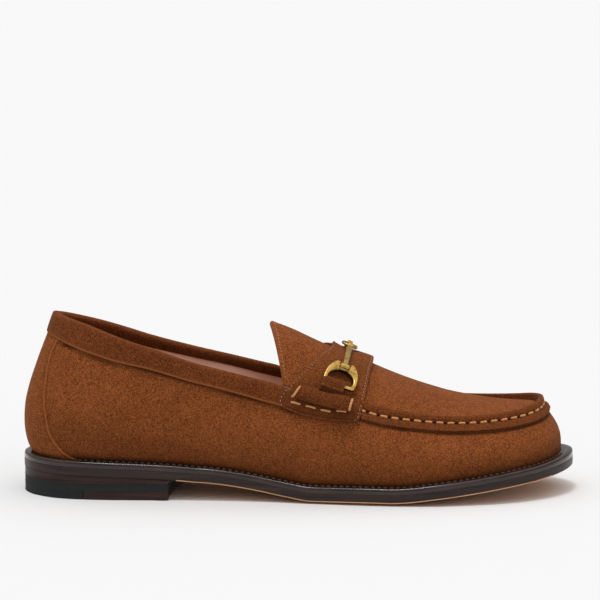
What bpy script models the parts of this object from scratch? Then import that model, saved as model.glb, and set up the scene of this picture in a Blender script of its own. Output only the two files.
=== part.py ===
"""Bit loafer, right shoe: suede moccasin-toe upper on a welted leather sole with a stacked heel.

Everything is in metres. While the shoe is built, X runs from the back of the heel to the toe,
+Y is the medial side and Z = 0 is the ground. At the end an empty carries the whole shoe so that
the bottom centre of its bounding box is at the world's origin.

A loop parameter runs round the shoe: 0 at the back of the heel, along the medial side to 1 at the
toe and back along the lateral side to 2. A station is a share of the shoe's length.
"""

from math import acos, cos, pi, sin, sqrt

import bmesh
import bpy
import numpy as np
from mathutils import Vector

# Driving dimensions of the sole
LENGTH = 0.296
BALL_WIDTH = 0.1055
HEEL_STACK = 0.0134
TOE_SPRING = 0.0135
BALL_RISE = 0.0015
OUTSOLE_THICKNESS = 0.0045
WELT_THICKNESS = 0.0030
WELT_MARGIN = 0.0056
GAP = 0.0003

# Driving dimensions of the upper
COLLAR_HEIGHT = 0.0950
INSTEP_HEIGHT = 0.0913
SIDE_BULGE = 0.0076
WALL = 0.0022
BAND_HEIGHT = 0.0096
BAND_THICKNESS = 0.0016
BAND_LINING_HEIGHT = 0.0050
BACK_STRAP_WIDTH = 0.0360
BACK_STRAP_THICKNESS = 0.0011
BAND_LINING_THICKNESS = 0.0012
BAND_PUFF = 0.0003
BAND_SHOULDER = 0.0008
SEAM_HEIGHT = 0.0045
SEAM_LIP = 0.0020
SEAM_SKIRT = 0.0040
SEAM_WIDTH = 0.0030
SEAM_ROUND = 0.0006
INSOLE_THICKNESS = 0.0030
INSOLE_CLEARANCE = 0.0006

# Driving dimensions of the heel
TOP_PIECE_THICKNESS = 0.0046
RUBBER_LAYER_THICKNESS = 0.0037
HEEL_MARGIN = 0.0008
BREAST_HOLLOW = 0.0035

# Driving dimensions of the strap, its rolls and the bit
STRAP_THICKNESS = 0.0028
ROLL_LENGTH = 0.0310
ROLL_WIDTH = 0.0082
ROLL_THICKNESS = 0.0060
KEEPER_LENGTH = 0.0120
KEEPER_THICKNESS = 0.0011
KEEPER_TAIL = 0.0006
RING_WIDTH = 0.0184
RING_WIRE = 0.0024
LUG_WIDTH = 0.0024
PIN_WIRE = 0.0012
BARREL_DIAMETER = 0.0033
BARREL_WIDTH = 0.0046
BAR_WIDTH = 0.0032
BAR_THICKNESS = 0.0017
EYE_DIAMETER = 0.0052
EYE_WIDTH = 0.0020
LINK_DIAMETER = 0.0092
LINK_WIRE = 0.0018
BIT_CLEARANCE = 0.0004
PIN_SEAT = 0.0034
EYE_SEAT = 0.0003
BAR_REACH = 0.903
PIN_REACH = 0.672
BIT_SHARE = 0.41

# Where the pieces end along the shoe, as stations
BREAST_LATERAL_STATION = 0.2635
BREAST_MEDIAL_STATION = 0.3064
TOP_PIECE_JOINT_STATION = 0.1216
THROAT_STATION = 0.460
TONGUE_CREST_STATION = 0.449
TONGUE_CORNER_STATION = 0.4715
APRON_STATION = 0.581
SEAM_STATION = 0.626

# How finely the surfaces are divided
REAR_STEPS = 18
FRONT_STEPS = 16
WALL_ROWS = (0.0, 0.03, 0.09, 0.18, 0.30, 0.44, 0.58, 0.72, 0.84, 0.93, 1.0)
DOME_COLUMNS = 14
SOLE_COLUMNS = (-1.0, -0.82, -0.6, 0.0, 0.6, 0.82, 1.0)
DOME_POWER = 0.8
TAB_DROP = 0.165
STEP = 1e-3
WELD = 1e-6


def turn(share):
    """Parameter of a share of a length, so that evenly spaced parameters crowd at both ends."""
    return acos(1 - 2 * min(max(share, 0), 1)) / pi


def ease(parameter):
    """Share of a length at a parameter: the inverse of turn."""
    return (1 - cos(pi * parameter)) / 2


def mix(a, b, share):
    """Value or point between a and b."""
    return a + (b - a) * share


class Table:
    """Named columns of shares, one row for each section, with a smooth curve through each column."""

    def __init__(self, columns, rows, round_ends=False):
        names = columns.split()
        data = np.array(rows, dtype=float)
        self.first, self.last = data[0, 0], data[-1, 0]
        self.round_ends = round_ends
        self.keys = [self.key(station) for station in data[:, 0]]
        self.columns = {name: data[:, i] for i, name in enumerate(names)}
        self.slopes = {name: self.tangents(column) for name, column in self.columns.items()}

    def key(self, station):
        """Place of a station on the curves, turned to parameters where both ends are round."""
        if self.round_ends:
            return turn((station - self.first) / (self.last - self.first))
        return station

    def station(self, parameter):
        """Station of a parameter on a table with round ends."""
        return mix(self.first, self.last, ease(parameter))

    def tangents(self, column):
        """Slopes at the rows, level where the curve turns or starts to run flat."""
        gaps = np.diff(self.keys)
        secants = np.diff(column) / gaps
        slopes = [secants[0]]
        for i in range(1, len(column) - 1):
            level = secants[i - 1] * secants[i] <= 0
            weighed = (secants[i - 1] * gaps[i] + secants[i] * gaps[i - 1]) / (gaps[i - 1] + gaps[i])
            slopes.append(0.0 if level else weighed)
        return slopes + [secants[-1]]

    def at(self, name, key):
        """Value of a column at a key."""
        column, slopes, keys = self.columns[name], self.slopes[name], self.keys
        key = min(max(key, keys[0]), keys[-1])
        i = min(max(int(np.searchsorted(keys, key)) - 1, 0), len(keys) - 2)
        gap = keys[i + 1] - keys[i]
        u = (key - keys[i]) / gap
        start = column[i] * (1 + 2 * u) * (1 - u) ** 2 + slopes[i] * gap * u * (1 - u) ** 2
        end = column[i + 1] * u * u * (3 - 2 * u) - slopes[i + 1] * gap * u * u * (1 - u)
        return start + end


# Outline of the sole: stations and half widths, the latter as shares of the ball width
OUTLINE = Table("station lateral medial", [
    (0.000, 0.000, 0.000),
    (0.027, -0.190, 0.190),
    (0.068, -0.275, 0.275),
    (0.135, -0.318, 0.313),
    (0.236, -0.332, 0.308),
    (0.338, -0.346, 0.284),
    (0.430, -0.375, 0.296),
    (0.530, -0.430, 0.372),
    (0.640, -0.482, 0.475),
    (0.730, -0.498, 0.508),
    (0.810, -0.468, 0.492),
    (0.885, -0.400, 0.434),
    (0.946, -0.282, 0.322),
    (0.980, -0.158, 0.215),
    (1.000, 0.047, 0.047),
], round_ends=True)

# Underside of the outsole: heights as shares of the heel stack and of the toe spring
UNDERSIDE = Table("station heel spring", [
    (0.000, 1.000, 0.00),
    (0.150, 0.910, 0.00),
    (0.290, 0.775, 0.00),
    (0.355, 0.630, 0.00),
    (0.420, 0.400, 0.00),
    (0.475, 0.160, 0.00),
    (0.525, 0.000, 0.00),
    (0.660, 0.000, 0.00),
    (0.750, 0.000, 0.20),
    (0.825, 0.000, 0.42),
    (0.900, 0.000, 0.67),
    (0.955, 0.000, 0.86),
    (1.000, 0.000, 1.00),
])

# Upper's top line and, ahead of the throat, its apron seam: half widths as shares of the ball
# width, heights as shares of the collar height
TOP_LINE = Table("station lateral medial height", [
    (0.0490, 0.000, 0.000, 1.000),
    (0.0650, -0.105, 0.105, 0.984),
    (0.1150, -0.200, 0.200, 0.938),
    (0.1620, -0.242, 0.240, 0.896),
    (0.2360, -0.275, 0.268, 0.833),
    (0.3210, -0.289, 0.275, 0.748),
    (0.3780, -0.294, 0.280, 0.704),
    (0.4360, -0.300, 0.289, 0.659),
    (0.4730, -0.308, 0.299, 0.632),
    (0.5740, -0.351, 0.346, 0.547),
    (0.6520, -0.379, 0.389, 0.480),
    (0.7050, -0.378, 0.398, 0.456),
    (0.7600, -0.360, 0.388, 0.438),
    (0.8110, -0.330, 0.356, 0.433),
    (0.8610, -0.282, 0.305, 0.440),
    (0.9020, -0.216, 0.246, 0.453),
    (0.9280, -0.136, 0.180, 0.468),
    (0.9430, 0.038, 0.038, 0.487),
], round_ends=True)

# Crest of the instep and the apron: heights as shares of the instep height
CREST = Table("station height", [
    (0.4200, 1.040),
    (0.4490, 1.000),
    (0.4800, 0.962),
    (0.5370, 0.875),
    (0.5900, 0.800),
    (0.6320, 0.744),
    (0.6760, 0.682),
    (0.7200, 0.626),
    (0.7700, 0.574),
    (0.8280, 0.537),
    (0.8650, 0.521),
    (0.9050, 0.512),
    (0.9430, 0.507),
])

# Swell of the wall between the sole and the top line: shares of the side bulge, and how high the
# fullest place sits (1 is halfway, less is lower)
SWELL = Table("station lateral medial place", [
    (0.00, 1.00, 1.00, 0.64),
    (0.12, 0.80, 0.80, 0.66),
    (0.27, 0.58, 0.50, 0.72),
    (0.40, 0.52, 0.30, 0.80),
    (0.52, 0.60, 0.45, 0.88),
    (0.65, 0.76, 0.72, 0.92),
    (0.80, 0.78, 0.78, 0.96),
    (0.92, 0.60, 0.60, 1.00),
    (1.00, 0.50, 0.50, 1.00),
])

# Saddle strap: stations of its rear and front edge by reach, which is 0 at the crest, 1 at the
# apron seam and 2 at the bottom of the tab
STRAP = Table("reach rear front", [
    (-0.50, 0.536, 0.6250),
    (0.00, 0.558, 0.6315),
    (0.50, 0.536, 0.6250),
    (0.85, 0.505, 0.6180),
    (1.00, 0.482, 0.6130),
    (1.35, 0.4685, 0.6100),
    (1.70, 0.4635, 0.6070),
    (2.00, 0.4675, 0.6010),
])

# Collar band: its height as shares of the named one, by station
BAND = Table("station height", [
    (0.000, 1.30),
    (0.120, 1.26),
    (0.240, 1.12),
    (0.340, 1.00),
    (0.500, 1.00),
])

# Back strap: half width as shares of its width, by height on the wall
BACK_STRAP = Table("height half", [
    (-0.05, 0.715),
    (0.00, 0.720),
    (0.07, 0.750),
    (0.20, 0.730),
    (0.32, 0.670),
    (0.43, 0.590),
    (0.55, 0.515),
    (0.65, 0.448),
    (0.75, 0.400),
    (0.84, 0.392),
    (1.00, 0.400),
])


def fold(loop):
    """Parameter along the shoe and the side's column name of a loop parameter."""
    loop %= 2
    return (loop, "medial") if loop <= 1 else (2 - loop, "lateral")


def outline(loop):
    """Point of the sole's outline."""
    parameter, side = fold(loop)
    return Vector((LENGTH * OUTLINE.station(parameter), BALL_WIDTH * OUTLINE.at(side, parameter), 0))


def top_line(loop):
    """Point of the upper's top line or apron seam."""
    parameter, side = fold(loop)
    return Vector((LENGTH * TOP_LINE.station(parameter), BALL_WIDTH * TOP_LINE.at(side, parameter),
                   COLLAR_HEIGHT * TOP_LINE.at("height", parameter)))


def outward(curve, loop):
    """Level direction that points out of a closed curve round the shoe."""
    along = curve(loop + STEP) - curve(loop - STEP)
    return Vector((-along.y, along.x, 0)).normalized()


def rim(loop, inset):
    """Point of the sole's outline, moved in by an inset."""
    return outline(loop) - outward(outline, loop) * inset


def underside(x, across):
    """Height of the outsole's underside; across is 0 on the centre line and 1 at the edges."""
    station = min(max(x / LENGTH, 0), 1)
    level = HEEL_STACK * UNDERSIDE.at("heel", station) + TOE_SPRING * UNDERSIDE.at("spring", station)
    flank = max(abs(across) - 0.6, 0) / 0.4
    ball = max(0, 1 - abs(station - 0.62) / 0.30)
    return level + BALL_RISE * flank * flank * sqrt(ball)


def margin(loop):
    """Width of the welt that shows outside the upper, wider at the heel and the toe."""
    parameter, _ = fold(loop)
    return WELT_MARGIN * (1 + 0.15 * cos(pi * parameter) ** 2)


def outsole_top(x):
    """Height of the outsole's upper face at its edge."""
    return underside(x, 1) + OUTSOLE_THICKNESS


def wall(height, loop):
    """Point of the upper's outer wall: height 0 at the welt's top, 1 at the top line or seam."""
    parameter, side = fold(loop)
    foot = rim(loop, margin(loop))
    foot.z = outsole_top(foot.x) + GAP + WELT_THICKNESS
    if height <= 0:
        return foot + Vector((0, 0, height * WELT_THICKNESS))
    station = ease(parameter)
    bulge = SIDE_BULGE * SWELL.at(side, station) * sin(pi * height ** SWELL.at("place", station))
    return mix(foot, top_line(loop), height) + outward(outline, loop) * bulge


def wall_share(loop, drop):
    """Height on the wall, as a share, that lies a drop below the top line or seam."""
    return 1 - drop / (wall(1, loop) - wall(0, loop)).length


def band_shares(loop):
    """Heights on the wall, as shares, of the collar band's outer and inner lower edge."""
    parameter, _ = fold(loop)
    share = BAND.at("height", TOP_LINE.station(parameter))
    return wall_share(loop, BAND_HEIGHT * share), wall_share(loop, BAND_LINING_HEIGHT * share)


def seam_parameter(station):
    """Parameter of a station along the top line."""
    return TOP_LINE.key(station)


def apron_height(x, y):
    """Height of the apron and tongue over a point of the plan."""
    parameter = seam_parameter(x / LENGTH)
    lateral, medial = top_line(2 - parameter), top_line(parameter)
    half = max((medial.y - lateral.y) / 2, STEP * LENGTH)
    across = min(abs(y - (medial.y + lateral.y) / 2) / half, 1)
    rise = INSTEP_HEIGHT * CREST.at("height", x / LENGTH) - lateral.z
    return lateral.z + rise * (1 - across * across) ** DOME_POWER


def over(parameter, reach):
    """Point of the outer surface across the instep: reach -1 to 1 on the apron, past it the wall."""
    if abs(reach) > 1:
        return wall(1 - TAB_DROP * (abs(reach) - 1), parameter if reach > 0 else -parameter)
    lateral, medial = top_line(-parameter), top_line(parameter)
    point = mix(lateral, medial, (reach + 1) / 2)
    point.z = apron_height(point.x, point.y)
    return point


def lifted(surface, a, b, out):
    """Point at a distance out of a surface, negative inwards."""
    along_a = surface(a + STEP, b) - surface(a - STEP, b)
    along_b = surface(a, b + STEP) - surface(a, b - STEP)
    return surface(a, b) + along_a.cross(along_b).normalized() * out


def spaced(start, end, steps):
    """Evenly spaced values from start to end."""
    return [mix(start, end, i / steps) for i in range(steps + 1)]


def section_parameters():
    """Parameters of the upper's sections from heel to toe, one of them at the apron's rear edge."""
    split = seam_parameter(APRON_STATION)
    return spaced(0, split, REAR_STEPS) + spaced(split, 1, FRONT_STEPS)[1:]


def ring_loops():
    """Loop parameters once round the shoe."""
    parameters = section_parameters()
    return parameters + [2 - p for p in reversed(parameters[1:-1])]


def dome_reaches():
    """Reaches across the apron, closer together where it turns down to the seam."""
    return [sin(pi / 2 * u) for u in spaced(-1, 1, DOME_COLUMNS)]


def material(name, colour, roughness, metallic=0.0):
    """Principled material with a base colour."""
    made = bpy.data.materials.new(name)
    made.use_nodes = True
    shader = made.node_tree.nodes["Principled BSDF"]
    shader.inputs["Base Color"].default_value = (*colour, 1)
    shader.inputs["Roughness"].default_value = roughness
    shader.inputs["Metallic"].default_value = metallic
    made.diffuse_color = (*colour, 1)
    return made


def add_object(name, points, faces, made, closed=True, smooth=True):
    """Object from points and faces, with doubles merged and its faces pointing out."""
    mesh = bpy.data.meshes.new(name)
    mesh.from_pydata([tuple(p) for p in points], [], faces)
    work = bmesh.new()
    work.from_mesh(mesh)
    bmesh.ops.remove_doubles(work, verts=work.verts, dist=WELD)
    if closed:
        bmesh.ops.recalc_face_normals(work, faces=work.faces)
    work.to_mesh(mesh)
    work.free()
    if smooth:
        mesh.shade_smooth()
        mesh.set_sharp_from_angle(angle=0.7)
    mesh.materials.append(made)
    piece = bpy.data.objects.new(name, mesh)
    bpy.context.collection.objects.link(piece)
    return piece


def slab(name, low, high, made, wrap=False):
    """Closed solid between two grids of points with the same rows; wrap joins the last row to the
    first."""
    rows, columns = len(low), len(low[0])
    points = [p for row in low for p in row] + [p for row in high for p in row]
    shift = rows * columns
    faces = []
    for i in range(rows if wrap else rows - 1):
        here, there = i * columns, (i + 1) % rows * columns
        for j in range(columns - 1):
            quad = (here + j, there + j, there + j + 1, here + j + 1)
            faces += [quad, tuple(shift + k for k in reversed(quad))]
        for j in (0, columns - 1):
            faces.append((here + j, there + j, shift + there + j, shift + here + j))
    if not wrap:
        for here in (0, (rows - 1) * columns):
            for j in range(columns - 1):
                faces.append((here + j, here + j + 1, shift + here + j + 1, shift + here + j))
    return add_object(name, points, faces, made)


def sweep(name, sections, made, wrap=False):
    """Closed solid through closed sections of points; wrap joins the last section to the first."""
    count, sides = len(sections), len(sections[0])
    points = [p for section in sections for p in section]
    faces = []
    for i in range(count if wrap else count - 1):
        here, there = i * sides, (i + 1) % count * sides
        for j in range(sides):
            k = (j + 1) % sides
            faces.append((here + j, here + k, there + k, there + j))
    if not wrap:
        faces += [tuple(range(sides)), tuple(range((count - 1) * sides, count * sides))]
    return add_object(name, points, faces, made)


def sole_slab(name, inset, low, high, made):
    """Plate over the whole outline between two heights, given as functions of x and across."""
    grids = [[], []]
    for parameter in section_parameters():
        lateral, medial = rim(-parameter, inset), rim(parameter, inset)
        for grid, height in zip(grids, (low, high)):
            row = [mix(lateral, medial, (across + 1) / 2) for across in SOLE_COLUMNS]
            for point, across in zip(row, SOLE_COLUMNS):
                point.z = height(point.x, across)
            grid.append(row)
    return slab(name, *grids, made)


def make_outsole(made):
    """Leather outsole: outline, waist, toe spring and the flat tread under the ball."""
    return sole_slab("outsole", 0, underside, lambda x, across: outsole_top(x), made)


def make_insole(made):
    """Insole inside the upper's wall."""
    def low(x, across):
        return outsole_top(x) + GAP

    def high(x, across):
        return low(x, across) + INSOLE_THICKNESS

    return sole_slab("insole", WELT_MARGIN * 1.15 + WALL + INSOLE_CLEARANCE, low, high, made)


def make_welt(made):
    """Welt round the upper's foot, on the outsole's edge."""
    low, high = [], []
    for loop in ring_loops():
        edges = [rim(loop, inset) for inset in (0, margin(loop) - GAP)]
        for grid, level in ((low, GAP), (high, GAP + WELT_THICKNESS)):
            grid.append([Vector((p.x, p.y, outsole_top(p.x) + level)) for p in edges])
    return slab("welt", low, high, made, wrap=True)


def heel_slab(name, start, end, low, high, made):
    """Layer of the heel between two shares of its depth, which end in the curved breast."""
    limits = [turn(station) for station in (BREAST_LATERAL_STATION, BREAST_MEDIAL_STATION)]
    grids = [[], []]
    for share in spaced(start, end, 12):
        lateral = rim(-share * limits[0], HEEL_MARGIN)
        medial = rim(share * limits[1], HEEL_MARGIN)
        for grid, height in zip(grids, (low, high)):
            row = []
            for across in spaced(-1, 1, 8):
                point = mix(lateral, medial, (across + 1) / 2)
                point.x -= BREAST_HOLLOW * (1 - across * across) * share ** 3
                point.z = height(point.x)
                row.append(point)
            grid.append(row)
    return slab(name, *grids, made)


def make_heel(leather, rubber):
    """Stacked heel: two ground pieces, a rubber layer and a leather lift under the outsole."""
    middle_station = (BREAST_LATERAL_STATION + BREAST_MEDIAL_STATION) / 2
    joint = turn(TOP_PIECE_JOINT_STATION) / turn(middle_station)
    slit = GAP / (TOP_PIECE_JOINT_STATION * LENGTH)
    layer = TOP_PIECE_THICKNESS + GAP
    lift = layer + RUBBER_LAYER_THICKNESS + GAP
    return [
        heel_slab("heel_top_piece_rubber", 0, joint, lambda x: 0, lambda x: TOP_PIECE_THICKNESS, rubber),
        heel_slab("heel_top_piece_leather", joint + slit, 1, lambda x: 0,
                  lambda x: TOP_PIECE_THICKNESS, leather),
        heel_slab("heel_rubber_layer", 0, 1, lambda x: layer, lambda x: lift - GAP, rubber),
        heel_slab("heel_lift", 0, 1, lambda x: lift, lambda x: underside(x, 0) - GAP, leather),
    ]


def make_upper(made):
    """Hollow upper: wall all round and apron over the forefoot, open at the collar and below."""
    loops, heights = ring_loops(), (-1.0,) + WALL_ROWS
    points = [wall(height, loop) for loop in loops for height in heights]
    rows, faces = len(heights), []
    for i in range(len(loops)):
        here, there = i * rows, (i + 1) % len(loops) * rows
        for j in range(rows - 1):
            faces.append((here + j, here + j + 1, there + j + 1, there + j))
    reaches, front = dome_reaches(), section_parameters()[REAR_STEPS:]
    start, columns = len(points), len(reaches)
    points += [over(parameter, reach) for parameter in front for reach in reaches]
    for i in range(len(front) - 1):
        here, there = start + i * columns, start + (i + 1) * columns
        for j in range(columns - 1):
            faces.append((here + j, there + j, there + j + 1, here + j + 1))
    upper = add_object("upper", points, faces, made, closed=False)
    solid = upper.modifiers.new("wall", "SOLIDIFY")
    solid.thickness = WALL
    solid.offset = -1
    solid.use_even_offset = True
    return upper


def make_tongue(made):
    """Rear flap of the apron, from under the saddle strap to its free edge."""
    split = seam_parameter(APRON_STATION) - 0.0012
    grids = [[], []]
    for reach in dome_reaches():
        reach *= 1 - 4 * GAP / (BALL_WIDTH * 0.3)
        edge = mix(TONGUE_CREST_STATION, TONGUE_CORNER_STATION, abs(reach) ** 1.5)
        for grid, out in zip(grids, (-WALL, 0)):
            grid.append([lifted(over, p, reach, out) for p in spaced(seam_parameter(edge), split, 7)])
    return slab("tongue", *grids, made)


def collar_loops():
    """Loop parameters along the collar, from the lateral throat round the heel to the medial one."""
    end = seam_parameter(THROAT_STATION)
    inner = [p for p in section_parameters() if p < end - 0.012]
    side = inner + [end]
    return [-p for p in reversed(side)] + side[1:]


def make_collar_band(made):
    """Folded binding over the top line: an outer leg, the fold and an inner leg."""
    low, high = [], []
    for loop in collar_loops():
        foot, inner_foot = band_shares(loop)
        near, far = GAP, GAP + BAND_THICKNESS
        inside = -WALL - GAP
        rise = (wall(1, loop) - wall(1 - STEP, loop)).normalized()

        def crown(out, height):
            return lifted(wall, 1, loop, out) + rise * height

        low.append([lifted(wall, foot, loop, near), lifted(wall, (foot + 1) / 2, loop, near),
                    crown(near, GAP), crown(mix(near, inside, 0.5), GAP), crown(inside, GAP),
                    lifted(wall, (inner_foot + 1) / 2, loop, inside),
                    lifted(wall, inner_foot, loop, inside)])
        high.append([lifted(wall, foot, loop, far), lifted(wall, (foot + 1) / 2, loop, far + BAND_PUFF),
                     crown(far - BAND_PUFF, BAND_SHOULDER), crown(mix(near, inside, 0.5), GAP + BAND_THICKNESS),
                     crown(inside - BAND_LINING_THICKNESS + BAND_PUFF, BAND_SHOULDER),
                     lifted(wall, (inner_foot + 1) / 2, loop, inside - BAND_LINING_THICKNESS),
                     lifted(wall, inner_foot, loop, inside - BAND_LINING_THICKNESS)])
    return slab("collar_band", low, high, made)


def make_back_strap(made):
    """Strap over the back seam, narrow in the middle and flared towards the welt."""
    low, high = [], []
    top = band_shares(0)[0] - 2 * GAP / COLLAR_HEIGHT
    for height in [row for row in WALL_ROWS[1:] if row < top - 0.05] + [top]:
        half = BACK_STRAP_WIDTH * BACK_STRAP.at("half", height)
        spread = half / (wall(height, 0.1) - wall(height, -0.1)).length * 0.2
        for grid, out in ((low, GAP), (high, GAP + BACK_STRAP_THICKNESS)):
            grid.append([lifted(wall, height, loop, out) for loop in spaced(-spread, spread, 14)])
    return slab("back_strap", low, high, made)


def make_apron_seam(made):
    """Raised seam between wall and apron: a lip down the wall, a ridge and its inner face."""
    end = seam_parameter(SEAM_STATION)
    side = [end] + [p for p in section_parameters() if p > end + 0.012]
    low, high = [], []
    for loop in side[:-1] + [2 - p for p in reversed(side)]:
        foot = wall_share(loop, SEAM_SKIRT)
        seam, out = top_line(loop), outward(top_line, loop)

        def on_apron(inset):
            point = seam - out * inset
            point.z = max(apron_height(point.x, point.y), seam.z) + GAP
            return point

        inner = on_apron(SEAM_WIDTH)
        crown = max(seam.z + SEAM_HEIGHT, inner.z + SEAM_ROUND * 2)

        def ridge(offset, drop):
            point = seam + out * offset
            point.z = crown - drop
            return point

        corner = lifted(wall, 1, loop, GAP * 1.5)
        corner.z += GAP
        low.append([lifted(wall, foot, loop, GAP), lifted(wall, (foot + 1) / 2, loop, GAP),
                    corner, corner, corner, on_apron(SEAM_WIDTH / 2), inner])
        high.append([lifted(wall, foot, loop, GAP + SEAM_LIP),
                     lifted(wall, (foot + 1) / 2, loop, GAP + SEAM_LIP * 1.1),
                     lifted(wall, 1, loop, GAP + SEAM_LIP) + Vector((0, 0, SEAM_ROUND)),
                     ridge(SEAM_WIDTH * 0.25, SEAM_ROUND * 1.3), ridge(-SEAM_WIDTH * 0.2, 0),
                     ridge(-SEAM_WIDTH * 0.6, SEAM_ROUND), inner + Vector((0, 0, SEAM_ROUND))])
    return slab("apron_seam", low, high, made)


def strap_point(reach, share, out):
    """Point over the saddle strap: share 0 at its rear edge and 1 at its front edge."""
    station = mix(STRAP.at("rear", abs(reach)), STRAP.at("front", abs(reach)), share)
    return lifted(over, seam_parameter(station), reach, out)


def make_saddle_strap(made):
    """Strap across the instep with a tab over the wall at each end."""
    tabs = (1.3, 1.65, 2.0)
    reaches = [-r for r in reversed(tabs)] + dome_reaches() + list(tabs)
    low, high = [], []
    for reach in reaches:
        shares = (0, 0.12, 0.35, 0.65, 0.88, 1)
        low.append([strap_point(reach, share, GAP) for share in shares])
        high.append([strap_point(reach, share, GAP + STRAP_THICKNESS * (0.8 + 0.8 * share * (1 - share)))
                     for share in shares])
    return slab("saddle_strap", low, high, made)


def make_roll(name, side, made):
    """Sewn roll along the seam, over the end of the strap."""
    sections = []
    centre_share, reach = 0.50, 1.04
    width = (strap_point(reach, 1, 0) - strap_point(reach, 0, 0)).length
    half = ROLL_LENGTH / 2 / width
    base = GAP * 2 + STRAP_THICKNESS
    for i in range(9):
        along = -cos(pi * i / 8)
        share = centre_share + half * along
        fat = max(1 - abs(along) ** 6, 0.12) ** 0.5
        ring = strap_point(side * reach, share, base + ROLL_THICKNESS / 2)
        up = (strap_point(side * reach, share, base + ROLL_THICKNESS) - ring).normalized()
        next_point = strap_point(side * reach, share + 0.02, base + ROLL_THICKNESS / 2)
        across = (next_point - ring).normalized().cross(up)
        sections.append([ring + across * (cos(a) * ROLL_WIDTH / 2 * fat)
                         + up * (sin(a) * ROLL_THICKNESS / 2 * fat)
                         for a in (2 * pi * k / 12 for k in range(12))])
    return sweep(name, sections, made)


def bit_places(side):
    """Places of the bit on one side, in one plane across the strap: ring's bar, pin and eye."""
    top = GAP + STRAP_THICKNESS
    rest = strap_point(0, BIT_SHARE, top)
    eye = rest + Vector((0, side * (LINK_DIAMETER - LINK_WIRE) / 2, EYE_DIAMETER / 2 + EYE_SEAT))
    lift = GAP + KEEPER_THICKNESS + RING_WIRE / 2 + 2.5 * BIT_CLEARANCE
    bar = strap_point_in_plane(side * BAR_REACH, top + lift, eye)
    pin = strap_point_in_plane(side * PIN_REACH, top + PIN_SEAT, eye)
    return bar, pin, eye


def strap_point_in_plane(reach, out, origin):
    """Point over the strap at a reach, in the plane through a point across the bit's pins."""
    toe, rear, front = toe_direction(), 0.0, 1.0
    for _ in range(30):
        share = (rear + front) / 2
        if toe.dot(strap_point(reach, share, out) - origin) < 0:
            rear = share
        else:
            front = share
    return strap_point(reach, share, out)


def toe_direction():
    """Direction in which the strap's crest slopes down to the toe: the axis of the bit's pins."""
    slope = strap_point(0, 0.7, 0) - strap_point(0, 0.3, 0)
    return Vector((slope.x, 0, slope.z)).normalized()


def make_ring(name, side, made):
    """D-shaped ring: a bar in the keeper, two bowed sides and a thin hinge pin between the lugs."""
    bar, pin, _ = bit_places(side)
    up, toe = (pin - bar).normalized(), toe_direction()
    normal = toe.cross(up)
    half, tall = RING_WIDTH / 2 - RING_WIRE / 2, (pin - bar).length
    notch = BARREL_WIDTH / 2 + BIT_CLEARANCE
    flat = KEEPER_LENGTH / 2 + BIT_CLEARANCE
    path = [(flat, 0, 1), (half * 0.93, 0.05, 1), (half, 0.22, 1), (half * 0.98, 0.48, 1),
            (half * 0.86, 0.74, 1), (half * 0.62, 0.93, 1), (notch + LUG_WIDTH, 1, 1), (notch, 1, 1),
            (notch, 1, PIN_WIRE / RING_WIRE)]
    places = [(-x, y, r) for x, y, r in path] + [(x, y, r) for x, y, r in reversed(path)]
    sections = []
    for i, (x, y, r) in enumerate(places):
        before, after = places[i - 1], places[(i + 1) % len(places)]
        along = (toe * (after[0] - before[0]) + up * ((after[1] - before[1]) * tall)).normalized()
        if y == 1:
            along = toe
        centre = bar + toe * x + up * (y * tall)
        aside = along.cross(normal).normalized()
        wire = RING_WIRE / 2 * r
        sections.append([centre + aside * (cos(a) * wire) + normal * (sin(a) * wire)
                         for a in (2 * pi * k / 8 for k in range(8))])
    return sweep(name, sections, made, wrap=True)


def make_keeper(name, side, made):
    """Leather loop round the ring's bar, with its tail drawn out under the roll's edge."""
    bar, pin, _ = bit_places(side)
    up, toe = (pin - bar).normalized(), toe_direction()
    normal = toe.cross(up)
    inner = RING_WIRE / 2 + BIT_CLEARANCE
    low, high = [], []
    for k in range(14):
        a = 2 * pi * k / 14
        across = up * cos(a) + normal * sin(a)
        stretch = KEEPER_TAIL * max(-cos(a), 0) ** 3
        ends = [toe * (KEEPER_LENGTH / 2 * s) for s in (-1, 1)]
        low.append([bar + across * inner + end for end in ends])
        high.append([bar + across * (inner + KEEPER_THICKNESS + stretch) + end for end in ends])
    return slab(name, low, high, made, wrap=True)


def hide_cutter(cutter):
    """Keep a cutter out of the visible model."""
    cutter.hide_render = True
    cutter.display_type = "WIRE"


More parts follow.
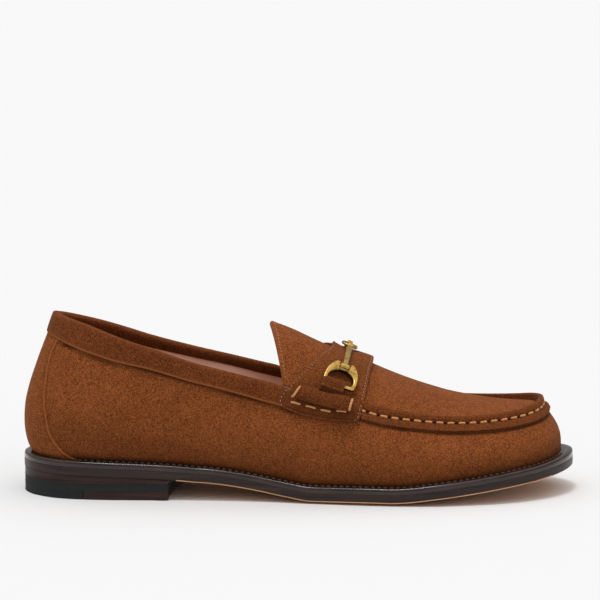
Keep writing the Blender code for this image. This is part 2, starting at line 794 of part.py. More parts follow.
def make_bar(name, side, made):
    """Tapered bar of the bit with a barrel round the hinge pin and an eye round the centre link."""
    _, pin, eye = bit_places(side)
    along, toe = (eye - pin).normalized(), toe_direction()
    normal = toe.cross(along)
    length = (eye - pin).length
    barrel, ring = BARREL_DIAMETER / 2, EYE_DIAMETER / 2
    low, high = [], []

    def add(place, half_height, half_width):
        centre = pin + along * place
        for grid, level in ((low, -half_height), (high, half_height)):
            grid.append([centre + toe * s + normal * level for s in (-half_width, half_width)])

    for a in (2.9, 2.4, 1.9, 1.3, 0.75):
        add(barrel * cos(a), barrel * sin(a), BARREL_WIDTH / 2)
    for share, wide in ((0.13, 0.60), (0.20, 0.5), (0.5, 0.42), (0.80, 0.36)):
        add(length * share, BAR_THICKNESS / 2, BAR_WIDTH * wide)
    for a in (2.75, 2.3, 1.8, 1.3, 0.8, 0.25):
        add(length + ring * cos(a), ring * sin(a), EYE_WIDTH / 2)
    bar = slab(name, low, high, made)
    for place, wire, play, word in ((pin, PIN_WIRE, 1, "pin"), (eye, LINK_WIRE, 2, "eye")):
        radius = wire / 2 + BIT_CLEARANCE * play
        aside = toe.cross(normal)
        ends = [[place + toe * s + (normal * cos(a) + aside * sin(a)) * radius
                 for a in (2 * pi * k / 10 for k in range(10))] for s in (-BARREL_WIDTH, BARREL_WIDTH)]
        cutter = sweep(f"{name}_{word}_cutter", ends, made)
        hide_cutter(cutter)
        cut = bar.modifiers.new(word, "BOOLEAN")
        cut.operation = "DIFFERENCE"
        cut.object = cutter
    return bar


def make_link(made):
    """Round link that joins the two bars over the crest of the strap."""
    lateral, medial = bit_places(-1)[2], bit_places(1)[2]
    centre, slope = (lateral + medial) / 2, toe_direction()
    radius = (medial - lateral).length / 2
    sections = []
    for i in range(20):
        a = 2 * pi * i / 20
        out = slope * (cos(a) * radius) + Vector((0, sin(a) * radius, 0))
        up = slope.cross(Vector((0, 1, 0)))
        sections.append([centre + out + (out.normalized() * cos(b) + up * sin(b)) * (LINK_WIRE / 2)
                         for b in (2 * pi * k / 8 for k in range(8))])
    return sweep("centre_link", sections, made, wrap=True)


def stand_on_origin():
    """Parent the shoe to an empty that brings its box's bottom centre to the world's origin."""
    bpy.context.view_layer.update()
    shown = [piece for piece in bpy.data.objects if not piece.hide_render]
    corners = [piece.matrix_world @ Vector(c) for piece in shown for c in piece.bound_box]
    lowest = Vector(min(c[i] for c in corners) for i in range(3))
    highest = Vector(max(c[i] for c in corners) for i in range(3))
    carrier = bpy.data.objects.new("shoe", None)
    bpy.context.collection.objects.link(carrier)
    for piece in bpy.data.objects:
        if piece is not carrier:
            piece.parent = carrier
    middle = (lowest + highest) / 2
    carrier.location = (-middle.x, -middle.y, -lowest.z)


def main():
    """Build the shoe, from the ground up."""
    for old in list(bpy.data.objects):
        bpy.data.objects.remove(old, do_unlink=True)
    sole_leather = material("sole leather", (0.050, 0.030, 0.026), 0.35)
    rubber = material("heel rubber", (0.025, 0.025, 0.025), 0.65)
    lining = material("lining leather", (0.52, 0.28, 0.19), 0.6)
    suede = material("suede", (0.19, 0.050, 0.014), 0.95)
    suede_dark = material("suede trim", (0.15, 0.040, 0.012), 0.95)
    brass = material("antique brass", (0.44, 0.27, 0.055), 0.32, 1.0)
    make_outsole(sole_leather)
    make_welt(sole_leather)
    make_heel(sole_leather, rubber)
    make_insole(lining)
    make_upper(suede)
    make_tongue(suede)
    make_apron_seam(suede_dark)
    make_collar_band(suede_dark)
    make_back_strap(suede)
    make_saddle_strap(suede)
    for word, side in (("lateral", -1), ("medial", 1)):
        make_roll(f"roll_{word}", side, suede_dark)
        make_keeper(f"keeper_{word}", side, suede_dark)
        make_ring(f"ring_{word}", side, brass)
        make_bar(f"bar_{word}", side, brass)
    make_link(brass)
    stand_on_origin()


main()
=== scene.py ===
import logging
from bisect import bisect_right
from dataclasses import dataclass, field
from enum import Enum
from functools import lru_cache, partial
from math import acos, cos, exp, pi, radians, sin, sqrt
from typing import Callable, Optional, Sequence

import bmesh
import bpy
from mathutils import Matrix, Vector, noise


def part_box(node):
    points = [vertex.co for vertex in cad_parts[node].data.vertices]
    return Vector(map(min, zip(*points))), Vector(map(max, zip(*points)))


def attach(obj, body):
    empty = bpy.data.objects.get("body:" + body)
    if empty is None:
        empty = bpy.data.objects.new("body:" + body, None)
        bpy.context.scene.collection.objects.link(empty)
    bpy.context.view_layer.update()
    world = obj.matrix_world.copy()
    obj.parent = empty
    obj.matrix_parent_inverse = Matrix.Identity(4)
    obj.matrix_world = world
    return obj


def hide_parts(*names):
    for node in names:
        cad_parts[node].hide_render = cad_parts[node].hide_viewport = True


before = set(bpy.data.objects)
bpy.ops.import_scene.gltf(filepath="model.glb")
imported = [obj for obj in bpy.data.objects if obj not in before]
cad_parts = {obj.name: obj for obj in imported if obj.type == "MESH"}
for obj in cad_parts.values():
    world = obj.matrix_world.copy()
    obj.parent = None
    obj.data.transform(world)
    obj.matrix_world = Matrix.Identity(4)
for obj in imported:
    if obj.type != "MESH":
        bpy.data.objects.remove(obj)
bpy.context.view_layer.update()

log = logging.getLogger("loafer")
Grid = list[list[Vector]]
Colour = tuple[float, float, float]
MM = 0.001


def mix(a, b, share: float):
    """Value or point at a share of the way from a to b."""
    return a + (b - a) * share


def turns(count: int) -> list[float]:
    """Angles once round a circle."""
    return [2 * pi * k / count for k in range(count)]


def spaced(start: float, end: float, steps: int) -> list[float]:
    """Evenly spaced values from start to end."""
    return [mix(start, end, i / steps) for i in range(steps + 1)]


def hump(distance: float, reach: float) -> float:
    """Smooth hump, 1 at no distance and almost 0 at twice the reach."""
    return exp(-(distance / reach) ** 2)


def turn(share: float) -> float:
    """Parameter of a share of a length, so that even parameters crowd at both ends."""
    return acos(1 - 2 * min(max(share, 0), 1)) / pi


def ease(parameter: float) -> float:
    """Share of a length at a parameter: the inverse of turn."""
    return (1 - cos(pi * parameter)) / 2


class Table:
    """Named columns of shares with a smooth curve through each column."""

    def __init__(self, columns: str, rows: Sequence[tuple], round_ends: bool = False) -> None:
        """Store the rows.

        Args:
            columns: names of the columns, the first one being the key.
            rows: one tuple for each section.
            round_ends: whether the key is a station of a form with round ends.
        """
        self.first, self.last = rows[0][0], rows[-1][0]
        self.round_ends = round_ends
        self.keys = [self.key(row[0]) for row in rows]
        self.columns = {name: [row[i] for row in rows] for i, name in enumerate(columns.split())}
        self.slopes = {name: self.tangents(column) for name, column in self.columns.items()}

    def key(self, station: float) -> float:
        """Place of a station on the curves."""
        if self.round_ends:
            return turn((station - self.first) / (self.last - self.first))
        return station

    def station(self, parameter: float) -> float:
        """Station of a parameter on a table with round ends."""
        return mix(self.first, self.last, ease(parameter))

    def tangents(self, column: list[float]) -> list[float]:
        """Slopes at the rows, level where the curve turns."""
        gaps = [b - a for a, b in zip(self.keys, self.keys[1:])]
        secants = [(b - a) / gap for a, b, gap in zip(column, column[1:], gaps)]
        slopes = [secants[0]]
        for i in range(1, len(column) - 1):
            level = secants[i - 1] * secants[i] <= 0
            weighed = (secants[i - 1] * gaps[i] + secants[i] * gaps[i - 1]) / (gaps[i - 1] + gaps[i])
            slopes.append(0.0 if level else weighed)
        return slopes + [secants[-1]]

    def at(self, name: str, key: float) -> float:
        """Value of a column at a key."""
        column, slopes, keys = self.columns[name], self.slopes[name], self.keys
        key = min(max(key, keys[0]), keys[-1])
        i = min(max(bisect_right(keys, key) - 1, 0), len(keys) - 2)
        gap = keys[i + 1] - keys[i]
        u = (key - keys[i]) / gap
        start = column[i] * (1 + 2 * u) * (1 - u) ** 2 + slopes[i] * gap * u * (1 - u) ** 2
        end = column[i + 1] * u * u * (3 - 2 * u) - slopes[i + 1] * gap * u * u * (1 - u)
        return start + end


# Outline of the sole: half widths as shares of the ball width
OUTLINE = Table("station lateral medial", [
    (0.000, 0.000, 0.000),
    (0.027, -0.190, 0.190),
    (0.068, -0.275, 0.275),
    (0.135, -0.318, 0.313),
    (0.236, -0.332, 0.308),
    (0.338, -0.346, 0.284),
    (0.430, -0.375, 0.296),
    (0.530, -0.430, 0.372),
    (0.640, -0.482, 0.475),
    (0.730, -0.498, 0.508),
    (0.810, -0.468, 0.492),
    (0.885, -0.400, 0.434),
    (0.946, -0.282, 0.322),
    (0.980, -0.158, 0.215),
    (1.000, 0.047, 0.047),
], round_ends=True)

# Underside of the outsole: heights as shares of the heel stack and of the toe spring
UNDERSIDE = Table("station heel spring", [
    (0.000, 1.000, 0.00),
    (0.150, 0.910, 0.00),
    (0.290, 0.775, 0.00),
    (0.355, 0.630, 0.00),
    (0.420, 0.400, 0.00),
    (0.475, 0.160, 0.00),
    (0.525, 0.000, 0.00),
    (0.660, 0.000, 0.00),
    (0.750, 0.000, 0.20),
    (0.825, 0.000, 0.42),
    (0.900, 0.000, 0.67),
    (0.955, 0.000, 0.86),
    (1.000, 0.000, 1.00),
])

# Top line and apron seam: half widths as shares of the ball width, heights of the collar height
TOP_LINE = Table("station lateral medial height", [
    (0.0490, 0.000, 0.000, 1.000),
    (0.0650, -0.105, 0.105, 0.984),
    (0.1150, -0.200, 0.200, 0.938),
    (0.1620, -0.242, 0.240, 0.896),
    (0.2360, -0.275, 0.268, 0.833),
    (0.3210, -0.289, 0.275, 0.748),
    (0.3780, -0.294, 0.280, 0.704),
    (0.4360, -0.300, 0.289, 0.659),
    (0.4730, -0.308, 0.299, 0.632),
    (0.5740, -0.351, 0.346, 0.547),
    (0.6520, -0.379, 0.389, 0.480),
    (0.7050, -0.378, 0.398, 0.456),
    (0.7600, -0.360, 0.388, 0.438),
    (0.8110, -0.330, 0.356, 0.433),
    (0.8610, -0.282, 0.305, 0.440),
    (0.9020, -0.216, 0.246, 0.453),
    (0.9280, -0.136, 0.180, 0.468),
    (0.9430, 0.038, 0.038, 0.487),
], round_ends=True)

# Crest of the instep and the apron: heights as shares of the instep height
CREST = Table("station height", [
    (0.4200, 1.040),
    (0.4490, 1.000),
    (0.4800, 0.962),
    (0.5370, 0.875),
    (0.5900, 0.800),
    (0.6320, 0.744),
    (0.6760, 0.682),
    (0.7200, 0.626),
    (0.7700, 0.574),
    (0.8280, 0.537),
    (0.8650, 0.521),
    (0.9050, 0.512),
    (0.9430, 0.507),
])

# Swell of the wall: shares of the side bulge, and how high the fullest place sits
SWELL = Table("station lateral medial place", [
    (0.00, 1.00, 1.00, 0.64),
    (0.12, 0.80, 0.80, 0.66),
    (0.27, 0.58, 0.50, 0.72),
    (0.40, 0.52, 0.30, 0.80),
    (0.52, 0.60, 0.45, 0.88),
    (0.65, 0.76, 0.72, 0.92),
    (0.80, 0.78, 0.78, 0.96),
    (0.92, 0.60, 0.60, 1.00),
    (1.00, 0.50, 0.50, 1.00),
])

# Saddle strap: stations of its edges by reach, 0 at the crest, 1 at the seam and 2 at the tab's end
STRAP = Table("reach rear front", [
    (-0.50, 0.536, 0.6250),
    (0.00, 0.558, 0.6315),
    (0.50, 0.536, 0.6250),
    (0.85, 0.505, 0.6180),
    (1.00, 0.482, 0.6130),
    (1.35, 0.4685, 0.6100),
    (1.70, 0.4635, 0.6070),
    (2.00, 0.4675, 0.6010),
])

# Collar band: its height as shares of the named one
BAND = Table("station height", [
    (0.000, 1.02),
    (0.060, 1.06),
    (0.125, 1.26),
    (0.160, 1.20),
    (0.230, 1.00),
    (0.355, 0.88),
    (0.447, 0.97),
    (0.500, 1.00),
])

# Back strap: half width as shares of its width, by height on the wall
BACK_STRAP = Table("height half", [
    (-0.05, 0.880),
    (0.00, 0.870),
    (0.07, 0.820),
    (0.20, 0.730),
    (0.32, 0.670),
    (0.43, 0.590),
    (0.55, 0.515),
    (0.65, 0.448),
    (0.75, 0.400),
    (0.84, 0.392),
    (1.00, 0.400),
])


@dataclass(frozen=True)
class Last:
    """The shoe's form: the same sizes and surfaces as the frame's solids.

    A loop runs round the shoe: 0 at the heel, along the medial side to 1 at the toe, and back
    along the lateral side to 2.
    """

    length: float = 0.296
    ball_width: float = 0.1055
    heel_stack: float = 0.0134
    toe_spring: float = 0.0135
    ball_rise: float = 0.0015
    outsole: float = 0.0045
    welt: float = 0.0030
    welt_margin: float = 0.0056
    gap: float = 0.0003
    collar_height: float = 0.0950
    instep_height: float = 0.0913
    side_bulge: float = 0.0076
    wall_thickness: float = 0.0022
    tab_drop: float = 0.165
    heel_tuck: float = 0.0032
    rim_lift: float = 0.0019
    rim_dip: float = 0.0017
    dome_power: float = 0.8
    step: float = 1e-3

    @staticmethod
    def fold(loop: float) -> tuple[float, str]:
        """Parameter along the shoe and the side's column of a loop."""
        loop %= 2
        return (loop, "medial") if loop <= 1 else (2 - loop, "lateral")

    @lru_cache(maxsize=200000)
    def outline(self, loop: float) -> Vector:
        """Point of the sole's outline."""
        parameter, side = self.fold(loop)
        return Vector((self.length * OUTLINE.station(parameter),
                       self.ball_width * OUTLINE.at(side, parameter), 0)).freeze()

    @lru_cache(maxsize=200000)
    def top_line(self, loop: float) -> Vector:
        """Point of the upper's top line or apron seam."""
        parameter, side = self.fold(loop)
        station = TOP_LINE.station(parameter)
        uneven = (self.rim_lift * hump(station - 0.118, 0.060) if side == "lateral"
                  else -self.rim_dip * hump(station - 0.235, 0.060))
        return Vector((self.length * station, self.ball_width * TOP_LINE.at(side, parameter),
                       self.collar_height * TOP_LINE.at("height", parameter) + uneven)).freeze()

    @lru_cache(maxsize=200000)
    def outward(self, curve: str, loop: float) -> Vector:
        """Level direction out of the outline or the top line.

        Args:
            curve: outline or top_line.
            loop: place round the shoe.

        Returns:
            A unit vector.
        """
        follow = getattr(self, curve)
        along = follow(loop + self.step) - follow(loop - self.step)
        return Vector((-along.y, along.x, 0)).normalized().freeze()

    @lru_cache(maxsize=200000)
    def rim(self, loop: float, inset: float) -> Vector:
        """Point of the sole's outline, moved in by an inset."""
        return (self.outline(loop) - self.outward("outline", loop) * inset).freeze()

    def underside(self, x: float, across: float) -> float:
        """Height of the outsole's underside at a length, across being 1 at the edges."""
        station = min(max(x / self.length, 0), 1)
        level = (self.heel_stack * UNDERSIDE.at("heel", station)
                 + self.toe_spring * UNDERSIDE.at("spring", station))
        flank = max(abs(across) - 0.6, 0) / 0.4
        ball = max(0, 1 - abs(station - 0.62) / 0.30)
        return level + self.ball_rise * flank * flank * sqrt(ball)

    def filling(self, steps: int, columns: int, inset: float,
                level: Callable[[float, float, float], float]) -> Grid:
        """Rows of points from side to side that fill the sole's outline.

        Args:
            steps: points round the outline.
            columns: gaps in each row.
            inset: distance of the rows' ends from the outline.
            level: height at a length, a parameter and a place across, which is 1 at the ends.

        Returns:
            The rows from the heel to the toe.
        """
        grid = []
        for i in range(steps // 2 + 1):
            parameter = 2 * i / steps
            ends = [self.rim(sign * parameter, inset) for sign in (-1, 1)]
            row = []
            for share in spaced(0, 1, columns):
                point = mix(*ends, share)
                point.z = level(point.x, parameter, abs(2 * share - 1))
                row.append(point)
            grid.append(row)
        return grid

    def margin(self, loop: float) -> float:
        """Width of the welt that shows outside the upper."""
        parameter, _ = self.fold(loop)
        return self.welt_margin * (1 + 0.15 * cos(pi * parameter) ** 2)

    def outsole_top(self, x: float) -> float:
        """Height of the outsole's upper face at its edge."""
        return self.underside(x, 1) + self.outsole

    @lru_cache(maxsize=400000)
    def wall(self, height: float, loop: float) -> Vector:
        """Point of the upper's outer wall, height 0 at the welt and 1 at the top line."""
        parameter, side = self.fold(loop)
        foot = self.rim(loop, self.margin(loop)).copy()
        foot.z = self.outsole_top(foot.x) + self.gap + self.welt
        if height <= 0:
            return (foot + Vector((0, 0, height * self.welt))).freeze()
        station = ease(parameter)
        bulge = self.side_bulge * SWELL.at(side, station) * sin(pi * height ** SWELL.at("place", station))
        bulge -= self.heel_tuck * hump(parameter, 0.17) * min(max(height - 0.38, 0) / 0.55, 1)
        return (mix(foot, self.top_line(loop), height) + self.outward("outline", loop) * bulge).freeze()

    @lru_cache(maxsize=100000)
    def wall_length(self, loop: float) -> float:
        """Length of the wall from the welt to the top line."""
        return (self.wall(1, loop) - self.wall(0, loop)).length

    def wall_share(self, loop: float, drop: float) -> float:
        """Height on the wall, as a share, that lies a drop below the top line."""
        return 1 - drop / self.wall_length(loop)

    def parameter(self, station: float) -> float:
        """Parameter of a station along the top line."""
        return TOP_LINE.key(station)

    def apron_height(self, x: float, y: float) -> float:
        """Height of the apron and tongue over a point of the plan."""
        parameter = self.parameter(x / self.length)
        lateral, medial = self.top_line(2 - parameter), self.top_line(parameter)
        half = max((medial.y - lateral.y) / 2, self.step * self.length)
        across = min(abs(y - (medial.y + lateral.y) / 2) / half, 1)
        rise = self.instep_height * CREST.at("height", x / self.length) - lateral.z
        return lateral.z + rise * (1 - across * across) ** self.dome_power

    @lru_cache(maxsize=200000)
    def over(self, parameter: float, reach: float) -> Vector:
        """Point across the instep, reach -1 to 1 on the apron and past it on the wall."""
        if abs(reach) > 1:
            return self.wall(1 - self.tab_drop * (abs(reach) - 1), parameter if reach > 0 else -parameter)
        point = mix(self.top_line(-parameter), self.top_line(parameter), (reach + 1) / 2)
        point.z = self.apron_height(point.x, point.y)
        return point.freeze()

    def lifted(self, surface: Callable[[float, float], Vector], a: float, b: float, out: float) -> Vector:
        """Point at a distance out of a surface.

        Args:
            surface: wall or over.
            a: first coordinate on the surface.
            b: second coordinate on the surface.
            out: distance out of it, negative inwards.

        Returns:
            The point in the shoe's own frame.
        """
        return surface(a, b) + self.normal(surface, a, b) * out

    @lru_cache(maxsize=400000)
    def normal(self, surface: Callable[[float, float], Vector], a: float, b: float) -> Vector:
        """Unit vector out of a surface."""
        along_a = surface(a + self.step, b) - surface(a - self.step, b)
        along_b = surface(a, b + self.step) - surface(a, b - self.step)
        return along_a.cross(along_b).normalized().freeze()

    def strap_point(self, reach: float, share: float, out: float) -> Vector:
        """Point over the saddle strap, share 0 at its rear edge and 1 at its front edge."""
        station = mix(STRAP.at("rear", abs(reach)), STRAP.at("front", abs(reach)), share)
        if abs(reach) > 1:
            sag = 1.22 - 0.22 * share + 0.32 * sin(pi * min(max(share, 0), 1))
            reach = (1 + (abs(reach) - 1) * sag) * (1 if reach > 0 else -1)
        return self.lifted(self.over, self.parameter(station), reach, out)

    def strap_width(self, reach: float) -> float:
        """Width of the strap at a reach."""
        return (self.strap_point(reach, 1, 0) - self.strap_point(reach, 0, 0)).length

    def tab_point(self, side: int, share: float, drop: float, out: float) -> Vector:
        """Point over a tab, a drop being a share of the wall's height below the seam."""
        station = mix(STRAP.at("rear", 1.6), STRAP.at("front", 1.6), share)
        return self.lifted(self.over, self.parameter(station), side * (1 + drop / self.tab_drop), out)


LAST = Last()


def frame_shift() -> Vector:
    """Move from the shoe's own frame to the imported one, read from the outsole's box."""
    lowest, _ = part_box("outsole")
    widest = min(LAST.outline(loop).y for loop in spaced(1, 2, 400))
    return Vector((lowest[0], lowest[1] - widest, lowest[2]))


SHIFT = frame_shift()


class Side(Enum):
    """The two sides of the shoe, with the sign of Y."""

    LATERAL = -1
    MEDIAL = 1

    @property
    def word(self) -> str:
        """Name of the side as the frame's nodes have it."""
        return self.name.lower()


def add_node(tree: bpy.types.NodeTree, kind: str, links: dict, **settings) -> bpy.types.Node:
    """Add a node to a tree.

    Args:
        tree: the tree.
        kind: the node's type.
        links: input name or index to a value or an output socket.
        settings: the node's own properties.

    Returns:
        The node.
    """
    made = tree.nodes.new(kind)
    for name, value in settings.items():
        setattr(made, name, value)
    for name, value in links.items():
        if isinstance(value, bpy.types.NodeSocket):
            tree.links.new(value, made.inputs[name])
        else:
            made.inputs[name].default_value = value
    return made


def add_object(name: str, data: Optional[bpy.types.ID]) -> bpy.types.Object:
    """Put a new object with its data into the scene."""
    made = bpy.data.objects.new(name, data)
    bpy.context.collection.objects.link(made)
    return made


class Shader:
    """Node tree of one material, with short ways to add and join its nodes."""

    def __init__(self, name: str) -> None:
        """Start a material with its Principled shader."""
        self.material = bpy.data.materials.new(name)
        self.material.use_nodes = True
        self.tree = self.material.node_tree
        self.principled = self.tree.nodes["Principled BSDF"]
        self.coordinates = self.tree.nodes.new("ShaderNodeTexCoord").outputs["Object"]

    def constants(self, **values) -> None:
        """Set sockets of the Principled shader, with _ for the spaces in their names."""
        for name, value in values.items():
            self.principled.inputs[name.replace("_", " ")].default_value = value

    def node(self, kind: str, links: dict, **settings) -> bpy.types.Node:
        """Add a node, its kind without the ShaderNode prefix."""
        return add_node(self.tree, f"ShaderNode{kind}", links, **settings)

    def noise(self, scale: float, detail: float = 3, rough: float = 0.5,
              stretch: tuple[float, float, float] = (1, 1, 1), warp: float = 0) -> bpy.types.NodeSocket:
        """Noise between 0 and 1 on the shoe's coordinates.

        Args:
            scale: waves in a metre.
            detail: octaves.
            rough: strength of the fine octaves.
            stretch: scale along each axis.
            warp: distortion.

        Returns:
            The output socket.
        """
        place = self.node("Mapping", {"Vector": self.coordinates, "Scale": stretch})
        made = self.node("TexNoise", {"Vector": place.outputs[0], "Scale": scale, "Detail": detail,
                                      "Roughness": rough, "Distortion": warp})
        return made.outputs["Fac"]

    def weighed(self, *parts: tuple[bpy.types.NodeSocket, float]) -> bpy.types.NodeSocket:
        """Sum of sockets, each times its weight."""
        made = [self.node("Math", {0: value, 1: weight}, operation="MULTIPLY").outputs[0]
                for value, weight in parts]
        total = made[0]
        for part in made[1:]:
            total = self.node("Math", {0: total, 1: part}, operation="ADD").outputs[0]
        return total

    def shaded(self, ground: bpy.types.NodeSocket, light: Colour, dark: Colour, most_light: float,
               most_dark: float) -> bpy.types.NodeSocket:
        """Ground colour made lighter by the mesh's tone towards bare edges, and darker by it where shade is
        painted.

        Args:
            ground: the colour where the tone is 0.
            light: colour that a tone of 1 turns it to.
            dark: colour of painted shade, that a tone of -1 turns it to.
            most_light: share of the light colour at 1.
            most_dark: share of the dark colour at -1.

        Returns:
            The colour.
        """
        tone = self.node("Attribute", {}, attribute_name="tone").outputs["Fac"]
        ground = self.blend(self.span(tone, 0.0, 1.0, 0, most_light), ground, light)
        return self.blend(self.span(tone, 0.0, -1.0, 0, most_dark), ground, dark)

    def span(self, value, low: float, high: float, to_low: float, to_high: float) -> bpy.types.NodeSocket:
        """Value moved from one span to another, clamped."""
        return self.node("MapRange", {0: value, 1: low, 2: high, 3: to_low, 4: to_high}).outputs[0]

    def blend(self, share, a, b) -> bpy.types.NodeSocket:
        """Colour between a and b; each may be a colour or a socket."""
        a, b = (c if isinstance(c, bpy.types.NodeSocket) else (*c, 1) for c in (a, b))
        return self.node("Mix", {0: share, 6: a, 7: b}, data_type="RGBA").outputs[2]

    def bump(self, height, distance: float, strength: float = 1, under=None) -> bpy.types.NodeSocket:
        """Bump of a height, on top of another one if given."""
        links = {"Height": height, "Distance": distance, "Strength": strength}
        if under is not None:
            links["Normal"] = under
        return self.node("Bump", links).outputs[0]

    def feed(self, name: str, socket: bpy.types.NodeSocket) -> None:
        """Join a socket to one of the Principled shader's inputs."""
        self.tree.links.new(socket, self.principled.inputs[name])


@dataclass(frozen=True)
class SuedeFinish:
    """Brushed suede: a short nap with lighter and darker strokes, and bare cut edges."""

    name: str
    light: Colour = (0.335, 0.098, 0.0260)
    dark: Colour = (0.112, 0.028, 0.0064)
    edge: Colour = (0.380, 0.122, 0.038)
    nap_height: float = 0.00026

    def make(self) -> bpy.types.Material:
        """Build the material."""
        shader = Shader(self.name)
        strokes = shader.noise(38, 3, 0.5, warp=0.5)
        mottle = shader.noise(240, 3, 0.55)
        nap = shader.noise(1350, 3, 0.70)
        fibre = shader.noise(3400, 2, 0.6)
        share = shader.weighed((strokes, 0.10), (mottle, 0.08), (nap, 0.81))
        ground = shader.blend(shader.span(share, 0.41, 0.59, 0, 1), self.dark, self.light)
        # Painted shade: a negative tone darkens the suede towards this colour.
        shadow = tuple(c * 0.35 for c in self.dark)
        shader.feed("Base Color", shader.shaded(ground, self.edge, shadow, 0.85, 0.80))
        relief = shader.bump(mottle, 0.00022, 0.5)
        relief = shader.bump(nap, self.nap_height, 0.9, relief)
        relief = shader.bump(fibre, self.nap_height * 0.4, 0.8, relief)
        shader.feed("Normal", relief)
        shader.constants(Roughness=0.95, Specular_IOR_Level=0.10, Sheen_Weight=0.06,
                         Sheen_Roughness=0.45, Sheen_Tint=(1.0, 0.58, 0.36, 1))
        return shader.material


@dataclass(frozen=True)
class HideFinish:
    """Smooth leather for linings and soles: fine pores, soft blotches, and painted shade where the mesh's
    tone is negative.
    """

    name: str
    light: Colour
    dark: Colour
    roughness: float = 0.55
    coat: float = 0.0
    shine: float = 0.3
    stretch: tuple[float, float, float] = (1, 1, 1)

    def make(self) -> bpy.types.Material:
        """Build the material."""
        shader = Shader(self.name)
        blotch = shader.noise(60, 5, 0.55, self.stretch)
        pores = shader.noise(1500, 2, 0.5)
        share = shader.weighed((blotch, 0.75), (pores, 0.25))
        ground = shader.blend(shader.span(share, 0.36, 0.64, 0, 1), self.dark, self.light)
        # Bare edges lighter; painted shade where the tone is negative.
        bare, shadow = tuple(min(c * 1.9, 1) for c in self.light), tuple(c * 0.25 for c in self.dark)
        shader.feed("Base Color", shader.shaded(ground, bare, shadow, 0.9, 0.85))
        shader.feed("Roughness", shader.span(blotch, 0.3, 0.7, self.roughness * 0.85, self.roughness * 1.15))
        shader.feed("Normal", shader.bump(pores, 0.00006, 0.6, shader.bump(blotch, 0.00025, 0.5)))
        shader.constants(Specular_IOR_Level=self.shine, Coat_Weight=self.coat, Coat_Roughness=0.16)
        return shader.material


@dataclass(frozen=True)
class RubberFinish:
    """Moulded heel rubber, dull black with fine scuffs."""

    name: str
    colour: Colour = (0.014, 0.015, 0.015)

    def make(self) -> bpy.types.Material:
        """Build the material."""
        shader = Shader(self.name)
        scuff = shader.noise(700, 3, 0.6, (1, 1, 3))
        shader.feed("Base Color", shader.blend(shader.span(scuff, 0.4, 0.7, 0, 1), self.colour,
                                               tuple(c * 1.8 for c in self.colour)))
        shader.feed("Roughness", shader.span(scuff, 0.3, 0.7, 0.58, 0.78))
        shader.feed("Normal", shader.bump(scuff, 0.00008, 0.6))
        shader.constants(Specular_IOR_Level=0.18)
        return shader.material


@dataclass(frozen=True)
class BrassFinish:
    """Antique brass: brushed faces with dark patina where it is handled least, and painted shade where the
    mesh's tone is negative.
    """

    name: str
    bright: Colour = (0.60, 0.365, 0.098)
    patina: Colour = (0.13, 0.064, 0.016)

    def make(self) -> bpy.types.Material:
        """Build the material."""
        shader = Shader(self.name)
        brushed = shader.noise(900, 3, 0.6, (1, 1, 0.25))
        cloud = shader.noise(420, 4, 0.65)
        ground = shader.blend(shader.span(cloud, 0.46, 0.66, 0, 0.7), self.bright, self.patina)
        # Painted shade: a negative tone darkens the brass towards this colour.
        painted_shade = tuple(c * 0.2 for c in self.patina)
        shader.feed("Base Color", shader.shaded(ground, self.bright, painted_shade, 0, 1))
        shader.feed("Roughness", shader.span(brushed, 0.3, 0.7, 0.15, 0.30))
        shader.feed("Normal", shader.bump(brushed, 0.00004, 0.5))
        shader.constants(Metallic=1.0)
        return shader.material


@dataclass(frozen=True)
class ThreadFinish:
    """Waxed thread, twisted across its own length."""

    name: str
    light: Colour
    dark: Colour

    def make(self) -> bpy.types.Material:
        """Build the material."""
        shader = Shader(self.name)
        fibre = shader.noise(1800, 3, 0.6)
        shader.feed("Base Color", shader.blend(shader.span(fibre, 0.35, 0.65, 0, 1), self.dark, self.light))
        shader.feed("Normal", shader.bump(fibre, 0.00008, 0.7))
        shader.constants(Roughness=0.62, Specular_IOR_Level=0.35, Sheen_Weight=0.25)
        return shader.material


class Wardrobe:
    """Every finish of the shoe, made once and handed out by name."""

    def __init__(self) -> None:
        """Build the materials."""
        finishes = (
            SuedeFinish("suede"),
            SuedeFinish("suede_trim", light=(0.215, 0.058, 0.0145), dark=(0.072, 0.0170, 0.0040)),
            HideFinish("lining", (0.95, 0.66, 0.52), (0.84, 0.55, 0.42), 0.6),
            HideFinish("insole_sock", (0.60, 0.36, 0.25), (0.46, 0.26, 0.17), 0.62),
            HideFinish("sole_edge", (0.044, 0.024, 0.019), (0.012, 0.008, 0.008), 0.42, 0.08, 0.22,
                       (0.35, 1, 9)),
            HideFinish("welt", (0.046, 0.022, 0.015), (0.013, 0.007, 0.006), 0.20, 0.40, 0.30, (1, 1, 3)),
            HideFinish("heel_stack", (0.056, 0.025, 0.020), (0.009, 0.006, 0.006), 0.45, 0.04, 0.18,
                       (0.4, 0.4, 16)),
            HideFinish("sole_bottom", (0.72, 0.38, 0.20), (0.56, 0.27, 0.13), 0.5),
            RubberFinish("heel_rubber"),
            BrassFinish("brass"),
            ThreadFinish("seam_thread", (0.70, 0.33, 0.105), (0.50, 0.20, 0.055)),
            ThreadFinish("fine_thread", (0.50, 0.26, 0.17), (0.30, 0.13, 0.08)),
            ThreadFinish("welt_thread", (0.066, 0.034, 0.025), (0.028, 0.015, 0.011)),
        )
        self.made = {finish.name: finish.make() for finish in finishes}

    def __getitem__(self, name: str) -> bpy.types.Material:
        """The material of a finish."""
        return self.made[name]


